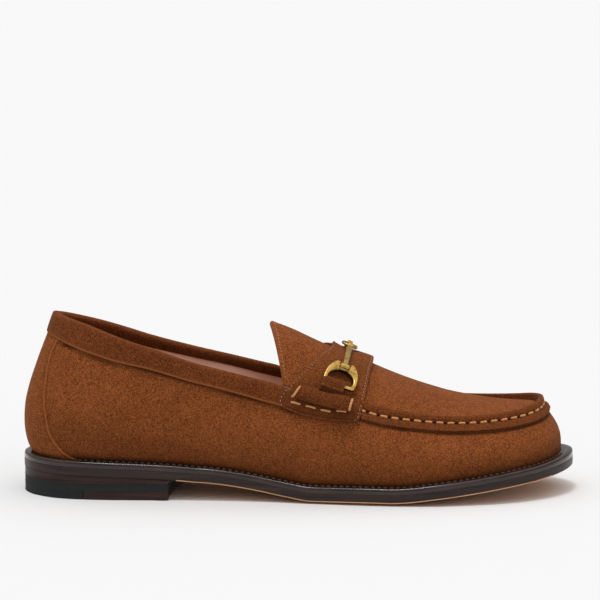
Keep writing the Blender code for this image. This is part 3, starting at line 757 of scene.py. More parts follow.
class Piece:
    """One visible piece: its points, faces and tones, until it becomes an object of the frame."""

    def __init__(self, name: str, materials: Sequence[bpy.types.Material]) -> None:
        """Start a piece with the materials that its faces can take."""
        self.name = name
        self.materials = list(materials)
        self.work = bmesh.new()
        self.tone = self.work.verts.layers.float.new("tone")

    def sheet(self, grid: Grid, tones: Optional[list[list[float]]] = None, slot: int = 0,
              wrap_rows: bool = False, wrap_columns: bool = False) -> None:
        """Add a grid of quads.

        Args:
            grid: rows of points.
            tones: lightness of each point, from -1 for painted shade to 1 for a bare edge.
            slot: index of the material.
            wrap_rows: whether the last row joins the first.
            wrap_columns: whether the last column joins the first.
        """
        rows = []
        for i, row in enumerate(grid):
            made = [self.work.verts.new(point + SHIFT) for point in row]
            if tones:
                for vertex, tone in zip(made, tones[i]):
                    vertex[self.tone] = tone
            rows.append(made)
        rows += rows[:1] if wrap_rows else []
        for here, there in zip(rows, rows[1:]):
            here, there = (r + r[:1] if wrap_columns else r for r in (here, there))
            for j in range(len(here) - 1):
                face = self.work.faces.new((here[j], there[j], there[j + 1], here[j + 1]))
                face.material_index = slot

    def cap(self, points: list[Vector], tone: float = 0, slot: int = 0) -> None:
        """Close a round section with a fan to its middle."""
        middle = self.work.verts.new(sum(points, Vector()) / len(points) + SHIFT)
        ring = [self.work.verts.new(point + SHIFT) for point in points]
        for vertex in ring + [middle]:
            vertex[self.tone] = tone
        for a, b in zip(ring, ring[1:] + ring[:1]):
            self.work.faces.new((middle, a, b)).material_index = slot

    def slab(self, low: Grid, high: Grid, tones: Optional[list[list[float]]] = None, slot: int = 0,
             low_slot: Optional[int] = None, wrap: bool = False) -> None:
        """Add a closed solid between two grids with the same rows."""
        self.sheet(low, tones, slot if low_slot is None else low_slot, wrap_rows=wrap)
        self.sheet(high, tones, slot, wrap_rows=wrap)
        for j in (0, -1):
            sides = [[l[j], h[j]] for l, h in zip(low, high)]
            shades = [[t[j], t[j]] for t in tones] if tones else None
            self.sheet(sides, shades, slot, wrap_rows=wrap)
        if not wrap:
            for i in (0, -1):
                shades = [[t, t] for t in tones[i]] if tones else None
                self.sheet([[l, h] for l, h in zip(low[i], high[i])], shades, slot)

    def tube(self, sections: Grid, tones: Optional[list[list[float]]] = None, slot: int = 0,
             wrap: bool = False) -> None:
        """Add a closed solid through round sections."""
        self.sheet(sections, tones, slot, wrap_rows=wrap, wrap_columns=True)
        if not wrap:
            self.cap(sections[0], tones[0][0] if tones else 0, slot)
            self.cap(sections[-1], tones[-1][0] if tones else 0, slot)

    def finish(self, slot: str, nodes: Sequence[str] = (), sharp: float = 50) -> bpy.types.Object:
        """Weld the mesh, shade it and give it to the frame.

        Args:
            slot: material slot of the record; not used.
            nodes: CAD nodes that it stands for.
            sharp: edges over this angle, in degrees, stay sharp.

        Returns:
            The finished object.
        """
        bmesh.ops.remove_doubles(self.work, verts=self.work.verts, dist=2e-6)
        bmesh.ops.dissolve_degenerate(self.work, edges=self.work.edges, dist=1e-7)
        bmesh.ops.recalc_face_normals(self.work, faces=self.work.faces)
        mesh = bpy.data.meshes.new(self.name)
        self.work.to_mesh(mesh)
        self.work.free()
        for material in self.materials:
            mesh.materials.append(material)
        mesh.shade_smooth()
        mesh.set_sharp_from_angle(angle=radians(sharp))
        return hand_over(add_object(self.name, mesh), nodes)


def apply_modifiers(made: bpy.types.Object) -> bpy.types.Object:
    """Turn an object with modifiers into its plain evaluated mesh."""
    evaluated = made.evaluated_get(bpy.context.evaluated_depsgraph_get())
    mesh = bpy.data.meshes.new_from_object(evaluated)
    old = made.data
    made.modifiers.clear()
    made.data = mesh
    bpy.data.meshes.remove(old)
    mesh.name = made.name
    return made


def hand_over(made: bpy.types.Object, nodes: Sequence[str] = ()) -> bpy.types.Object:
    """Ride a piece on the shoe's body and the nodes it replaces, and log it."""
    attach(made, "root")
    if nodes:
        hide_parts(*nodes)
    log.info("%s: %d faces", made.name, len(made.data.polygons))
    return made


def rounded(distance: float, radius: float) -> float:
    """Loss of height near an edge with a round of some radius."""
    if distance >= radius:
        return 0.0
    return radius - sqrt(max(radius * radius - (radius - distance) ** 2, 0))


def soft_noise(point: Vector, size: float, seed: float = 0) -> float:
    """Smooth noise between -1 and 1 with features of a size."""
    return noise.noise(Vector(point) / size + Vector((seed, seed * 0.7, -seed)))


@dataclass
class ThreadLine:
    """Line that a row of stitches follows, with the direction out of the surface at each point."""

    points: list[Vector]
    ups: list[Vector]
    reached: list[float] = field(default_factory=list)

    def __post_init__(self) -> None:
        """Measure how far along the line each point is."""
        self.reached = [0.0]
        for a, b in zip(self.points, self.points[1:]):
            self.reached.append(self.reached[-1] + (b - a).length)

    def count(self, pitch: float) -> int:
        """Number of gaps of about a pitch that the line holds."""
        return max(1, round(self.reached[-1] / pitch))


@dataclass(frozen=True)
class StitchForm:
    """One stitch: a short twisted thread whose ends dive into the surface.

    Its length, thickness and pitch are in metres; dive is in thicknesses.
    """

    length: float
    thickness: float
    pitch: float
    dive: float = 0.75
    strands: int = 3
    rings: int = 14
    around: int = 14

    def make(self, name: str) -> bpy.types.Object:
        """Build the stitch along X with Z out of the surface."""
        work = bmesh.new()
        rows = []
        for along in spaced(-1, 1, self.rings):
            bend = abs(along) ** 3.2
            radius = self.thickness / 2 * max(1 - abs(along) ** 7, 0.03) ** 0.5
            centre = Vector((along * self.length / 2 * (1 - 0.10 * bend), 0,
                             -self.dive * self.thickness * bend))
            row = []
            for k in range(self.around):
                angle = 2 * pi * k / self.around
                ridge = 1 - 0.17 * abs(sin(self.strands * angle / 2 + 2.2 * along))
                row.append(work.verts.new(centre + Vector((0, cos(angle), sin(angle))) * radius * ridge))
            rows.append(row)
        for here, there in zip(rows, rows[1:]):
            for k in range(self.around):
                after = (k + 1) % self.around
                work.faces.new((here[k], here[after], there[after], there[k]))
        work.faces.new(reversed(rows[0]))
        work.faces.new(rows[-1])
        mesh = bpy.data.meshes.new(name)
        work.to_mesh(mesh)
        work.free()
        mesh.shade_smooth()
        return add_object(name, mesh)


class Stitching:
    """Rows of stitches set along lines by one Geometry Nodes tree."""

    def __init__(self, wardrobe: Wardrobe) -> None:
        """Keep the threads and build the tree."""
        self.wardrobe = wardrobe
        self.tree = self.build_tree()

    @staticmethod
    def build_tree() -> bpy.types.NodeTree:
        """Build the tree: resample the line, turn each stitch to it, realize and set the material."""
        tree = bpy.data.node_groups.new("stitch_row", "GeometryNodeTree")
        face = tree.interface
        face.new_socket("Geometry", in_out="INPUT", socket_type="NodeSocketGeometry")
        for name, kind in (("Form", "Object"), ("Points", "Int"), ("Wander", "Float"),
                           ("Seed", "Int"), ("Thread", "Material")):
            face.new_socket(name, in_out="INPUT", socket_type=f"NodeSocket{kind}")
        face.new_socket("Geometry", in_out="OUTPUT", socket_type="NodeSocketGeometry")

        node = partial(add_node, tree)
        given = node("NodeGroupInput", {}).outputs
        curve = node("GeometryNodeMeshToCurve", {"Mesh": given["Geometry"]})
        evened = node("GeometryNodeResampleCurve", {"Curve": curve.outputs[0], "Count": given["Points"]},
                      mode="COUNT")
        tangent = node("GeometryNodeInputTangent", {})
        up = node("GeometryNodeInputNamedAttribute", {"Name": "up"}, data_type="FLOAT_VECTOR")
        along = node("FunctionNodeAlignRotationToVector", {"Vector": tangent.outputs[0]}, axis="X")
        turned = node("FunctionNodeAlignRotationToVector",
                      {"Rotation": along.outputs[0], "Vector": up.outputs[0]}, axis="Z", pivot_axis="X")
        negative = node("ShaderNodeMath", {0: given["Wander"], 1: -1.0}, operation="MULTIPLY")
        wander = tree.nodes.new("FunctionNodeRandomValue")
        wander.data_type = "FLOAT"
        floats = [socket for socket in wander.inputs if socket.type == "VALUE"]
        tree.links.new(negative.outputs[0], floats[0])
        tree.links.new(given["Wander"], floats[1])
        tree.links.new(given["Seed"], wander.inputs["Seed"])
        angle = node("ShaderNodeCombineXYZ", {"Z": wander.outputs[1]})
        spin = node("FunctionNodeEulerToRotation", {"Euler": angle.outputs[0]})
        rotated = node("FunctionNodeRotateRotation", {"Rotation": turned.outputs[0],
                                                      "Rotate By": spin.outputs[0]}, rotation_space="LOCAL")
        form = node("GeometryNodeObjectInfo", {"Object": given["Form"]})
        placed = node("GeometryNodeInstanceOnPoints", {"Points": evened.outputs[0],
                                                       "Instance": form.outputs["Geometry"],
                                                       "Rotation": rotated.outputs[0]})
        real = node("GeometryNodeRealizeInstances", {"Geometry": placed.outputs[0]})
        dressed = node("GeometryNodeSetMaterial", {"Geometry": real.outputs[0], "Material": given["Thread"]})
        node("NodeGroupOutput", {"Geometry": dressed.outputs[0]})
        return tree

    def row(self, name: str, lines: Sequence[ThreadLine], form: StitchForm, thread: str, slot: str,
            wander: float = 0.05, seed: int = 7) -> bpy.types.Object:
        """Sew stitches along lines.

        Args:
            name: name of the finished piece.
            lines: the lines, each with its own whole number of stitches.
            form: the stitch.
            thread: finish of the thread.
            slot: material slot of the record; not used.
            wander: how far a stitch may turn off its line, in radians.
            seed: start of the random turns.

        Returns:
            The finished object.
        """
        pattern = form.make(f"{name}_pattern")
        made = []
        for i, line in enumerate(lines):
            mesh = bpy.data.meshes.new(f"{name}_{i}")
            mesh.from_pydata([point + SHIFT for point in line.points],
                             [(k, k + 1) for k in range(len(line.points) - 1)], [])
            up = mesh.attributes.new("up", "FLOAT_VECTOR", "POINT")
            for k, direction in enumerate(line.ups):
                up.data[k].vector = direction
            piece = add_object(f"{name}_{i}", mesh)
            sewn = piece.modifiers.new("stitches", "NODES")
            sewn.node_group = self.tree
            values = {"Form": pattern, "Points": line.count(form.pitch) + 1, "Wander": wander,
                      "Seed": seed + i, "Thread": self.wardrobe[thread]}
            for socket in self.tree.interface.items_tree:
                if socket.in_out == "INPUT" and socket.name in values:
                    sewn[socket.identifier] = values[socket.name]
            made.append(apply_modifiers(piece))
        bpy.data.objects.remove(pattern)
        joined = bmesh.new()
        for piece in made:
            joined.from_mesh(piece.data)
        mesh = bpy.data.meshes.new(name)
        joined.to_mesh(mesh)
        joined.free()
        mesh.materials.append(self.wardrobe[thread])
        mesh.shade_smooth()
        for piece in made:
            bpy.data.objects.remove(piece)
        return hand_over(add_object(name, mesh))


@dataclass
class Sole:
    """Leather outsole and welt, with their polished edges and the welt's dark stitches."""

    wardrobe: Wardrobe
    stitching: Stitching
    steps: int = 400
    corner: float = 0.20 * MM
    natural_line: float = 0.55 * MM
    natural_from: float = 0.276
    natural_to: float = 0.955
    bevel: float = 0.9 * MM
    stitch_inset: float = 1.35 * MM
    stitched_from: float = 0.045

    def loops(self) -> list[float]:
        """Loops round the sole, the same on both sides."""
        return [2 * i / self.steps for i in range(self.steps)]

    def bottom(self, loop: float, inset: float) -> Vector:
        """Point of the outsole's underside at an inset from its edge."""
        point = LAST.rim(loop, inset).copy()
        parameter, _ = LAST.fold(loop)
        half = (LAST.outline(parameter).y - LAST.outline(-parameter).y) / 2
        point.z = LAST.underside(point.x, max(0, 1 - inset / half) if half > inset else 0)
        return point

    def outsole(self) -> None:
        """Build the outsole: natural leather below, blackened edge."""
        piece = Piece("sole_plate", [self.wardrobe["sole_edge"], self.wardrobe["sole_bottom"]])
        loops = self.loops()
        deep, corner = 7 * MM, self.corner
        lower = [(deep, 0), (4 * MM, 0), (1.5 * MM, 0), (corner, 0)]
        edge = [(corner, 0), (0.12 * MM, 0.12 * MM), (0, corner), (0, self.natural_line)]
        under, rows = ([[self.bottom(loop, inset) + Vector((0, 0, rise)) for inset, rise in section]
                        for loop in loops] for section in (lower, edge))
        piece.sheet(under, slot=1, wrap_rows=True)
        for i, loop in enumerate(loops):
            natural = self.natural_from < LAST.outline(loop).x / LAST.length < self.natural_to
            piece.sheet([rows[i - 1], rows[i]], slot=1 if natural else 0)
        tall = LAST.outsole
        upper = [(0, self.natural_line), (-0.05 * MM, tall * 0.35), (-0.05 * MM, tall * 0.7),
                 (0, tall - corner), (0.14 * MM, tall - 0.10 * MM), (corner, tall), (12 * MM, tall)]
        grid = []
        for loop in loops:
            row = []
            for inset, rise in upper:
                point = LAST.rim(loop, inset).copy()
                base = self.bottom(loop, 0).z
                top = LAST.outsole_top(point.x) - tall
                point.z = mix(base, top, max(rise / tall, 0)) + rise
                row.append(point)
            grid.append(row)
        piece.sheet(grid, wrap_rows=True)

        def level(x: float, parameter: float, across: float) -> float:
            half = (LAST.outline(parameter).y - LAST.outline(-parameter).y) / 2
            return LAST.underside(x, across * (1 - deep / max(half, deep)))

        piece.sheet(LAST.filling(self.steps, 12, deep, level), slot=1)
        piece.finish("sole_leather", ["outsole"], sharp=40)

    def welt(self) -> None:
        """Build the welt: bevelled edge and a shallow channel for its stitches."""
        piece = Piece("welt_strip", [self.wardrobe["welt"]])
        thick, bevel = LAST.welt, self.bevel
        grid, tones = [], []
        for loop in self.loops():
            wide = LAST.margin(loop) - LAST.gap
            channel = wide - self.stitch_inset
            # Tones: painted shade on the underside by the outsole, in the stitch channel and along the inner
            # edge under the upper.
            section = [(wide, 0, -1), (0.40 * MM, -0.28 * MM, -0.8), (0.06 * MM, -0.24 * MM, -0.4),
                       (0, -0.12 * MM, 0), (-0.05 * MM, thick * 0.5, 0), (0.05 * MM, thick - bevel, 0),
                       (bevel * 0.35, thick - bevel * 0.35, 0.05), (bevel, thick, 0),
                       (channel - 0.9 * MM, thick + 0.05 * MM, 0),
                       (channel - 0.3 * MM, thick - 0.25 * MM, -0.3),
                       (channel + 0.3 * MM, thick - 0.25 * MM, -0.4), (channel + 0.9 * MM, thick, -0.2),
                       (wide, thick - 0.1 * MM, -0.6)]
            row = []
            for inset, rise, _ in section:
                point = LAST.rim(loop, inset).copy()
                point.z = LAST.outsole_top(LAST.outline(loop).x) + LAST.gap + rise
                row.append(point)
            grid.append(row)
            tones.append([tone for _, _, tone in section])
        piece.sheet(grid, tones, wrap_rows=True, wrap_columns=True)
        piece.finish("welt_leather", ["welt"], sharp=55)

    def stitches(self) -> None:
        """Sew the welt: dark stitches all round, but for the very back of the heel."""
        start = turn(self.stitched_from)
        points, ups = [], []
        for loop in spaced(start, 2 - start, 700):
            point = LAST.rim(loop, LAST.margin(loop) - LAST.gap - self.stitch_inset).copy()
            point.z = LAST.outsole_top(point.x) + LAST.gap + LAST.welt + 0.02 * MM
            points.append(point)
            ups.append(Vector((0, 0, 1)))
        form = StitchForm(2.7 * MM, 1.10 * MM, 3.35 * MM, dive=0.45)
        self.stitching.row("welt_stitches", [ThreadLine(points, ups)], form, "welt_thread", "welt_leather")

    def make(self) -> None:
        """Build the whole sub-assembly."""
        self.outsole()
        self.welt()
        self.stitches()


@dataclass
class Heel:
    """Stacked heel: leather lift, rubber layer and a top piece of rubber and leather."""

    wardrobe: Wardrobe
    margin: float = 0.25 * MM
    breast_lateral: float = 0.2635
    breast_medial: float = 0.3064
    hollow: float = 3.5 * MM
    joint_station: float = 0.1216
    top_piece: float = 4.6 * MM
    rubber_layer: float = 3.7 * MM
    bevel: float = 0.12 * MM
    press: float = 0.17 * MM
    taper_station: float = 0.24
    taper: float = 0.05
    most_taper: float = 0.6 * MM

    def outline(self, start: float, end: float) -> list[Vector]:
        """Outline of a layer between two shares of the heel's depth.

        Args:
            start: share at its rear, 0 for the round back of the heel.
            end: share at its front, 1 for the breast.

        Returns:
            Points once round the layer.
        """
        limits = {Side.LATERAL: turn(self.breast_lateral), Side.MEDIAL: turn(self.breast_medial)}

        def edge(side: Side, share: float) -> Vector:
            point = LAST.rim(side.value * share * limits[side], self.margin).copy()
            point.z = 0
            return point

        def across(share: float) -> list[Vector]:
            ends = edge(Side.MEDIAL, share), edge(Side.LATERAL, share)
            points = []
            for place in spaced(-1, 1, 24)[1:-1]:
                point = mix(*ends, (place + 1) / 2)
                point.x -= self.hollow * (1 - place * place) * share ** 3
                points.append(point)
            return points

        points = [edge(Side.LATERAL, share) for share in reversed(spaced(start, end, 60))]
        if start > 0:
            points += list(reversed(across(start)))
        points += [edge(Side.MEDIAL, share) for share in spaced(start, end, 60)][0 if start > 0 else 1:]
        return points + across(end)

    def layer(self, name: str, node: str, span: tuple[float, float], low: Callable[[float], float],
              high: Callable[[float], float], finish: str, slot: str) -> None:
        """Build one layer with slightly rounded edges.

        Args:
            name: name of the piece.
            node: CAD node that it stands for.
            span: shares of the heel's depth where it starts and ends.
            low: height of its lower face at a length.
            high: height of its upper face at a length.
            finish: finish of its leather or rubber.
            slot: material slot of the record.
        """
        piece = Piece(name, [self.wardrobe[finish]])
        points = self.outline(*span)
        count = len(points)
        normals = []
        for i in range(count):
            along = points[(i + 1) % count] - points[i - 1]
            normals.append(Vector((-along.y, along.x, 0)).normalized())
        for i, point in enumerate(points):
            ahead = max(point.x / LAST.length - self.taper_station, 0)
            points[i] = point + normals[i] * min(ahead * self.taper, self.most_taper)
        bevel, round_off = self.bevel, self.bevel * 0.3
        profile = [(bevel, 0, 0), (round_off, 0, round_off), (0, 0, bevel),
                   (0, 1, -bevel), (round_off, 1, -round_off), (bevel, 1, 0)]
        grid = []
        for point, normal in zip(points, normals):
            row = []
            for inset, share, rise in profile:
                moved = point + normal * inset
                moved.z = mix(low(moved.x), high(moved.x), share) + rise
                row.append(moved)
            grid.append(row)
        piece.sheet(grid, wrap_rows=True)
        piece.cap([row[0] for row in grid])
        piece.cap([row[-1] for row in grid])
        piece.finish(slot, [node], sharp=45)

    def make(self) -> None:
        """Build the four layers."""
        middle = (self.breast_lateral + self.breast_medial) / 2
        joint = turn(self.joint_station) / turn(middle)
        slit = LAST.gap / (self.joint_station * LAST.length)
        layer = self.top_piece + LAST.gap
        lift = layer + self.rubber_layer + LAST.gap
        press = self.press
        self.layer("heel_tread_rubber", "heel_top_piece_rubber", (0, joint), lambda x: 0,
                   lambda x: self.top_piece + press, "heel_rubber", "heel_rubber")
        self.layer("heel_tread_leather", "heel_top_piece_leather", (joint + slit * 0.4, 1), lambda x: 0,
                   lambda x: self.top_piece + press, "heel_stack", "heel_leather")
        self.layer("heel_cushion", "heel_rubber_layer", (0, 1), lambda x: layer - press,
                   lambda x: lift - LAST.gap + press, "heel_rubber", "heel_rubber")
        self.layer("heel_lifts", "heel_lift", (0, 1), lambda x: lift - press,
                   lambda x: LAST.underside(x, 0) - LAST.gap + press, "heel_stack", "heel_leather")


@dataclass
class SeamLine:
    """The moccasin seam: its stitches' line, and the beat that the puckers round it follow."""

    start_station: float = 0.612
    pitch: float = 5.95 * MM
    out: float = 1.35 * MM
    steps: int = 900
    loops: list[float] = field(default_factory=list)
    thread: Optional[ThreadLine] = None

    def __post_init__(self) -> None:
        """Lay the line and make the pitch fit a whole number of stitches."""
        start = LAST.parameter(self.start_station)
        self.loops = spaced(start, 2 - start, self.steps)
        points = [LAST.lifted(LAST.wall, 1.0, loop, self.out) for loop in self.loops]
        ups = [(LAST.outward("top_line", loop) + Vector((0, 0, 0.25))).normalized() for loop in self.loops]
        self.thread = ThreadLine(points, ups)
        self.pitch = self.thread.reached[-1] / self.thread.count(self.pitch)

    def beat(self, loop: float) -> float:
        """Number of stitches from the seam's start to a loop, whole at each stitch's middle."""
        place = (loop - self.loops[0]) / (self.loops[-1] - self.loops[0]) * self.steps
        i = min(max(int(place), 0), self.steps - 1)
        reached = mix(self.thread.reached[i], self.thread.reached[i + 1], place - i)
        return reached / self.pitch


# Soft creases of the wall: station, lean, height of the middle and depth in millimetres
CREASES = (
    (0.640, 0.030, 0.62, 0.55),
    (0.672, 0.045, 0.55, 0.60),
    (0.540, -0.040, 0.42, 0.45),
    (0.105, 0.020, 0.50, 0.35),
    (0.300, -0.030, 0.60, 0.35),
)


@dataclass
class Upper:
    """Suede upper: wall and apron with soft creases, the lining on its inner side."""

    wardrobe: Wardrobe
    seam: SeamLine
    rear_steps: int = 150
    front_steps: int = 150
    rows: int = 46
    columns: int = 64
    rear_station: float = 0.581
    crease_width: float = 0.010
    crease_height: float = 0.28
    pucker: float = 0.17 * MM
    groove: float = 0.7 * MM
    band_to: float = 0.50
    seam_from: float = 0.605
    skirt_edge: float = 4.75 * MM
    shadow: float = 0.60 * MM

    @staticmethod
    def below_band(height: float, loop: float) -> float:
        """Distance of a place on the wall below the collar band's lower edge."""
        parameter, _ = LAST.fold(loop)
        share = BAND.at("height", TOP_LINE.station(parameter))
        return (1 - height) * LAST.wall_length(loop) - Collar.band_height * share

    def dents(self, height: float, loop: float, point: Vector) -> float:
        """How far the wall stands out of the last at a place, from creases, puckers and softness.

        Args:
            height: share of the wall's height.
            loop: place round the shoe.
            point: the same place in the shoe's frame.

        Returns:
            Distance outwards in metres.
        """
        parameter, _ = LAST.fold(loop)
        station = point.x / LAST.length
        depth = 0.35 * MM * soft_noise(point, 0.045, 3) + 0.16 * MM * soft_noise(point, 0.016, 9)
        for place, lean, low, size in CREASES:
            ridge = station - place - lean * (height - low)
            reach = size * MM * hump(height - low, self.crease_height)
            depth -= reach * hump(ridge, self.crease_width)
            depth += 0.5 * reach * hump(ridge - 1.7 * self.crease_width, self.crease_width)
        if self.seam.loops[0] < loop % 2 < self.seam.loops[-1]:
            drop = (1 - height) * LAST.wall_length(loop)
            fade = exp(-max(drop - 4 * MM, 0) / (5 * MM))
            depth += self.pucker * cos(2 * pi * self.seam.beat(loop % 2)) * fade
        if parameter < LAST.parameter(self.band_to):
            depth -= self.groove * hump(self.below_band(height, loop) - 0.75 * MM, 0.75 * MM)
        foot = hump(height, 0.06)
        return depth * (1 - foot) * min(1, (1 - height) * 12 + 0.25)

    def shade(self, height: float, loop: float) -> float:
        """Tone of the wall: painted shade darkening it towards the welt, and painted shadow lines under the
        seam's skirt and the collar band.
        """
        parameter, _ = LAST.fold(loop)
        tone = -0.6 * hump(height, 0.035) - 0.42 * hump(height, 0.30) - (0.2 if height < 0 else 0)
        if parameter >= LAST.parameter(self.seam_from):
            below = (1 - height) * LAST.wall_length(loop) - self.skirt_edge
        elif parameter <= LAST.parameter(self.band_to):
            below = self.below_band(height, loop) - 0.80 * MM
        else:
            return tone
        return tone - 1.7 * hump(below, self.shadow)

    def make(self) -> None:
        """Build the shell: wall all round, then the apron."""
        piece = Piece("upper_shell", [self.wardrobe["suede"], self.wardrobe["lining"]])
        split = LAST.parameter(self.rear_station)
        half = spaced(0, split, self.rear_steps) + spaced(split, 1, self.front_steps)[1:]
        loops = half + [2 - p for p in reversed(half[1:-1])]
        heights = [-1.0, -0.5, 0.0] + [ease(u) ** 0.9 for u in spaced(0, 1, self.rows)[1:]]
        grid, tones = [], []
        for loop in loops:
            row, shades = [], []
            for height in heights:
                base = LAST.wall(height, loop)
                out = self.dents(height, loop, base) if height > 0 else 0
                row.append(LAST.lifted(LAST.wall, height, loop, out) if height > 0 else base.copy())
                shades.append(max(self.shade(height, loop), -1))
            grid.append(row)
            tones.append(shades)
        piece.sheet(grid, tones, wrap_rows=True)
        thick = LAST.wall_thickness
        inner = [[LAST.lifted(LAST.wall, height, loop, -thick) for height in heights] for loop in loops]
        piece.sheet(inner, slot=1, wrap_rows=True)
        piece.sheet([[a[0], b[0]] for a, b in zip(grid, inner)], slot=1, wrap_rows=True)
        collar = self.rear_steps + 1
        edge = [[a[-1], b[-1]] for a, b in zip(grid, inner)]
        piece.sheet(edge[1 - collar:] + edge[:collar])
        apron, ceiling = [], []
        reaches = [sin(pi / 2 * u) for u in spaced(-1, 1, self.columns)]
        for parameter in spaced(split, 1, self.front_steps):
            row = []
            for reach in reaches:
                point = LAST.over(parameter, reach)
                swell = 0.30 * MM * soft_noise(point, 0.030, 21) + 0.12 * MM * soft_noise(point, 0.012, 5)
                swell *= min(1, (1 - abs(reach)) * 5) * min(1, (1 - parameter) * 12)
                row.append(point + Vector((0, 0, swell)))
            apron.append(row)
            ends = [LAST.lifted(LAST.wall, 1.0, loop, -thick) for loop in (2 - parameter, parameter)]
            under = [mix(*ends, (reach + 1) / 2) for reach in reaches]
            for point in under[1:-1]:
                point.z = LAST.apron_height(point.x, point.y) - thick
            ceiling.append(under)
        piece.sheet(apron)
        piece.sheet(ceiling, slot=1)
        piece.sheet([[a, b] for a, b in zip(apron[0], ceiling[0])])
        piece.finish("suede", ["upper"], sharp=60)


@dataclass
class Lining:
    """Insole with its leather sock, seen through the collar."""

    wardrobe: Wardrobe
    steps: int = 200
    clearance: float = 0.6 * MM
    thickness: float = 3.0 * MM
    round_off: float = 0.5 * MM

    def make(self) -> None:
        """Build the sock as a plate with a soft rounded edge."""
        piece = Piece("insole_sock", [self.wardrobe["insole_sock"]])
        start = LAST.welt_margin * 1.15 + LAST.wall_thickness + self.clearance
        deep, tall = 6 * MM, self.thickness
        section = [(self.round_off, 0), (0, self.round_off), (0, tall - 0.8 * MM),
                   (0.25 * MM, tall - 0.3 * MM), (0.9 * MM, tall), (deep, tall)]
        grid = []
        for i in range(self.steps):
            row = []
            for inset, rise in section:
                point = LAST.rim(2 * i / self.steps, start + inset).copy()
                point.z = LAST.outsole_top(point.x) + LAST.gap + rise
                row.append(point)
            grid.append(row)
        piece.sheet(grid, wrap_rows=True)
        piece.sheet(LAST.filling(self.steps, 16, start + deep,
                                 lambda x, *_: LAST.outsole_top(x) + LAST.gap + tall))
        piece.finish("lining_leather", ["insole"], sharp=50)


FINE_STITCH = StitchForm(1.55 * MM, 0.42 * MM, 2.15 * MM, dive=0.6, rings=8, around=8)


@dataclass
class Tongue:
    """Rear flap of the apron, with its bare cut edge and a row of fine stitches."""

    wardrobe: Wardrobe
    stitching: Stitching
    crest_station: float = 0.449
    corner_station: float = 0.4715
    front_station: float = 0.581
    thickness: float = LAST.wall_thickness
    columns: int = 90
    stitch_inset: float = 2.0 * MM

    def edge(self, reach: float) -> tuple[float, float]:
        """Parameter of the rear edge at a reach, and metres for each step of 1 from it."""
        start = LAST.parameter(mix(self.crest_station, self.corner_station, abs(reach) ** 1.5))
        return start, (LAST.over(start + 0.02, reach) - LAST.over(start, reach)).length / 0.02

    def make(self) -> None:
        """Build the flap and sew its edge."""
        piece = Piece("tongue_flap", [self.wardrobe["suede"], self.wardrobe["lining"]])
        split = LAST.parameter(self.front_station) - 0.0012
        low, high, tones = [], [], []
        for place in spaced(-1, 1, self.columns):
            reach = sin(pi / 2 * place) * 0.985
            start, unit = self.edge(reach)
            bottom, top, shades = [], [], []
            for away in [0, 0.12, 0.35, 0.8, 1.5] + spaced(2.5, (split - start) * unit / MM, 24):
                parameter = start + away * MM / unit
                loss = rounded(away * MM, 0.75 * MM)
                wave = 0.15 * MM * soft_noise(LAST.over(parameter, reach), 0.02, 2)
                bottom.append(LAST.lifted(LAST.over, parameter, reach, -self.thickness + loss * 0.6))
                top.append(LAST.lifted(LAST.over, parameter, reach, wave - loss))
                shades.append(0.55 if away < 0.3 else 0.0)
            low.append(bottom)
            high.append(top)
            tones.append(shades)
        piece.slab(low, high, tones, low_slot=1)
        piece.finish("suede", ["tongue"], sharp=60)
        points, ups = [], []
        for place in spaced(-1, 1, 240):
            reach = sin(pi / 2 * place) * 0.93
            start, unit = self.edge(reach)
            points.append(LAST.lifted(LAST.over, start + self.stitch_inset / unit, reach, 0.05 * MM))
            ups.append(LAST.normal(LAST.over, start, reach))
        self.stitching.row("tongue_stitches", [ThreadLine(points, ups)], FINE_STITCH, "fine_thread", "suede")


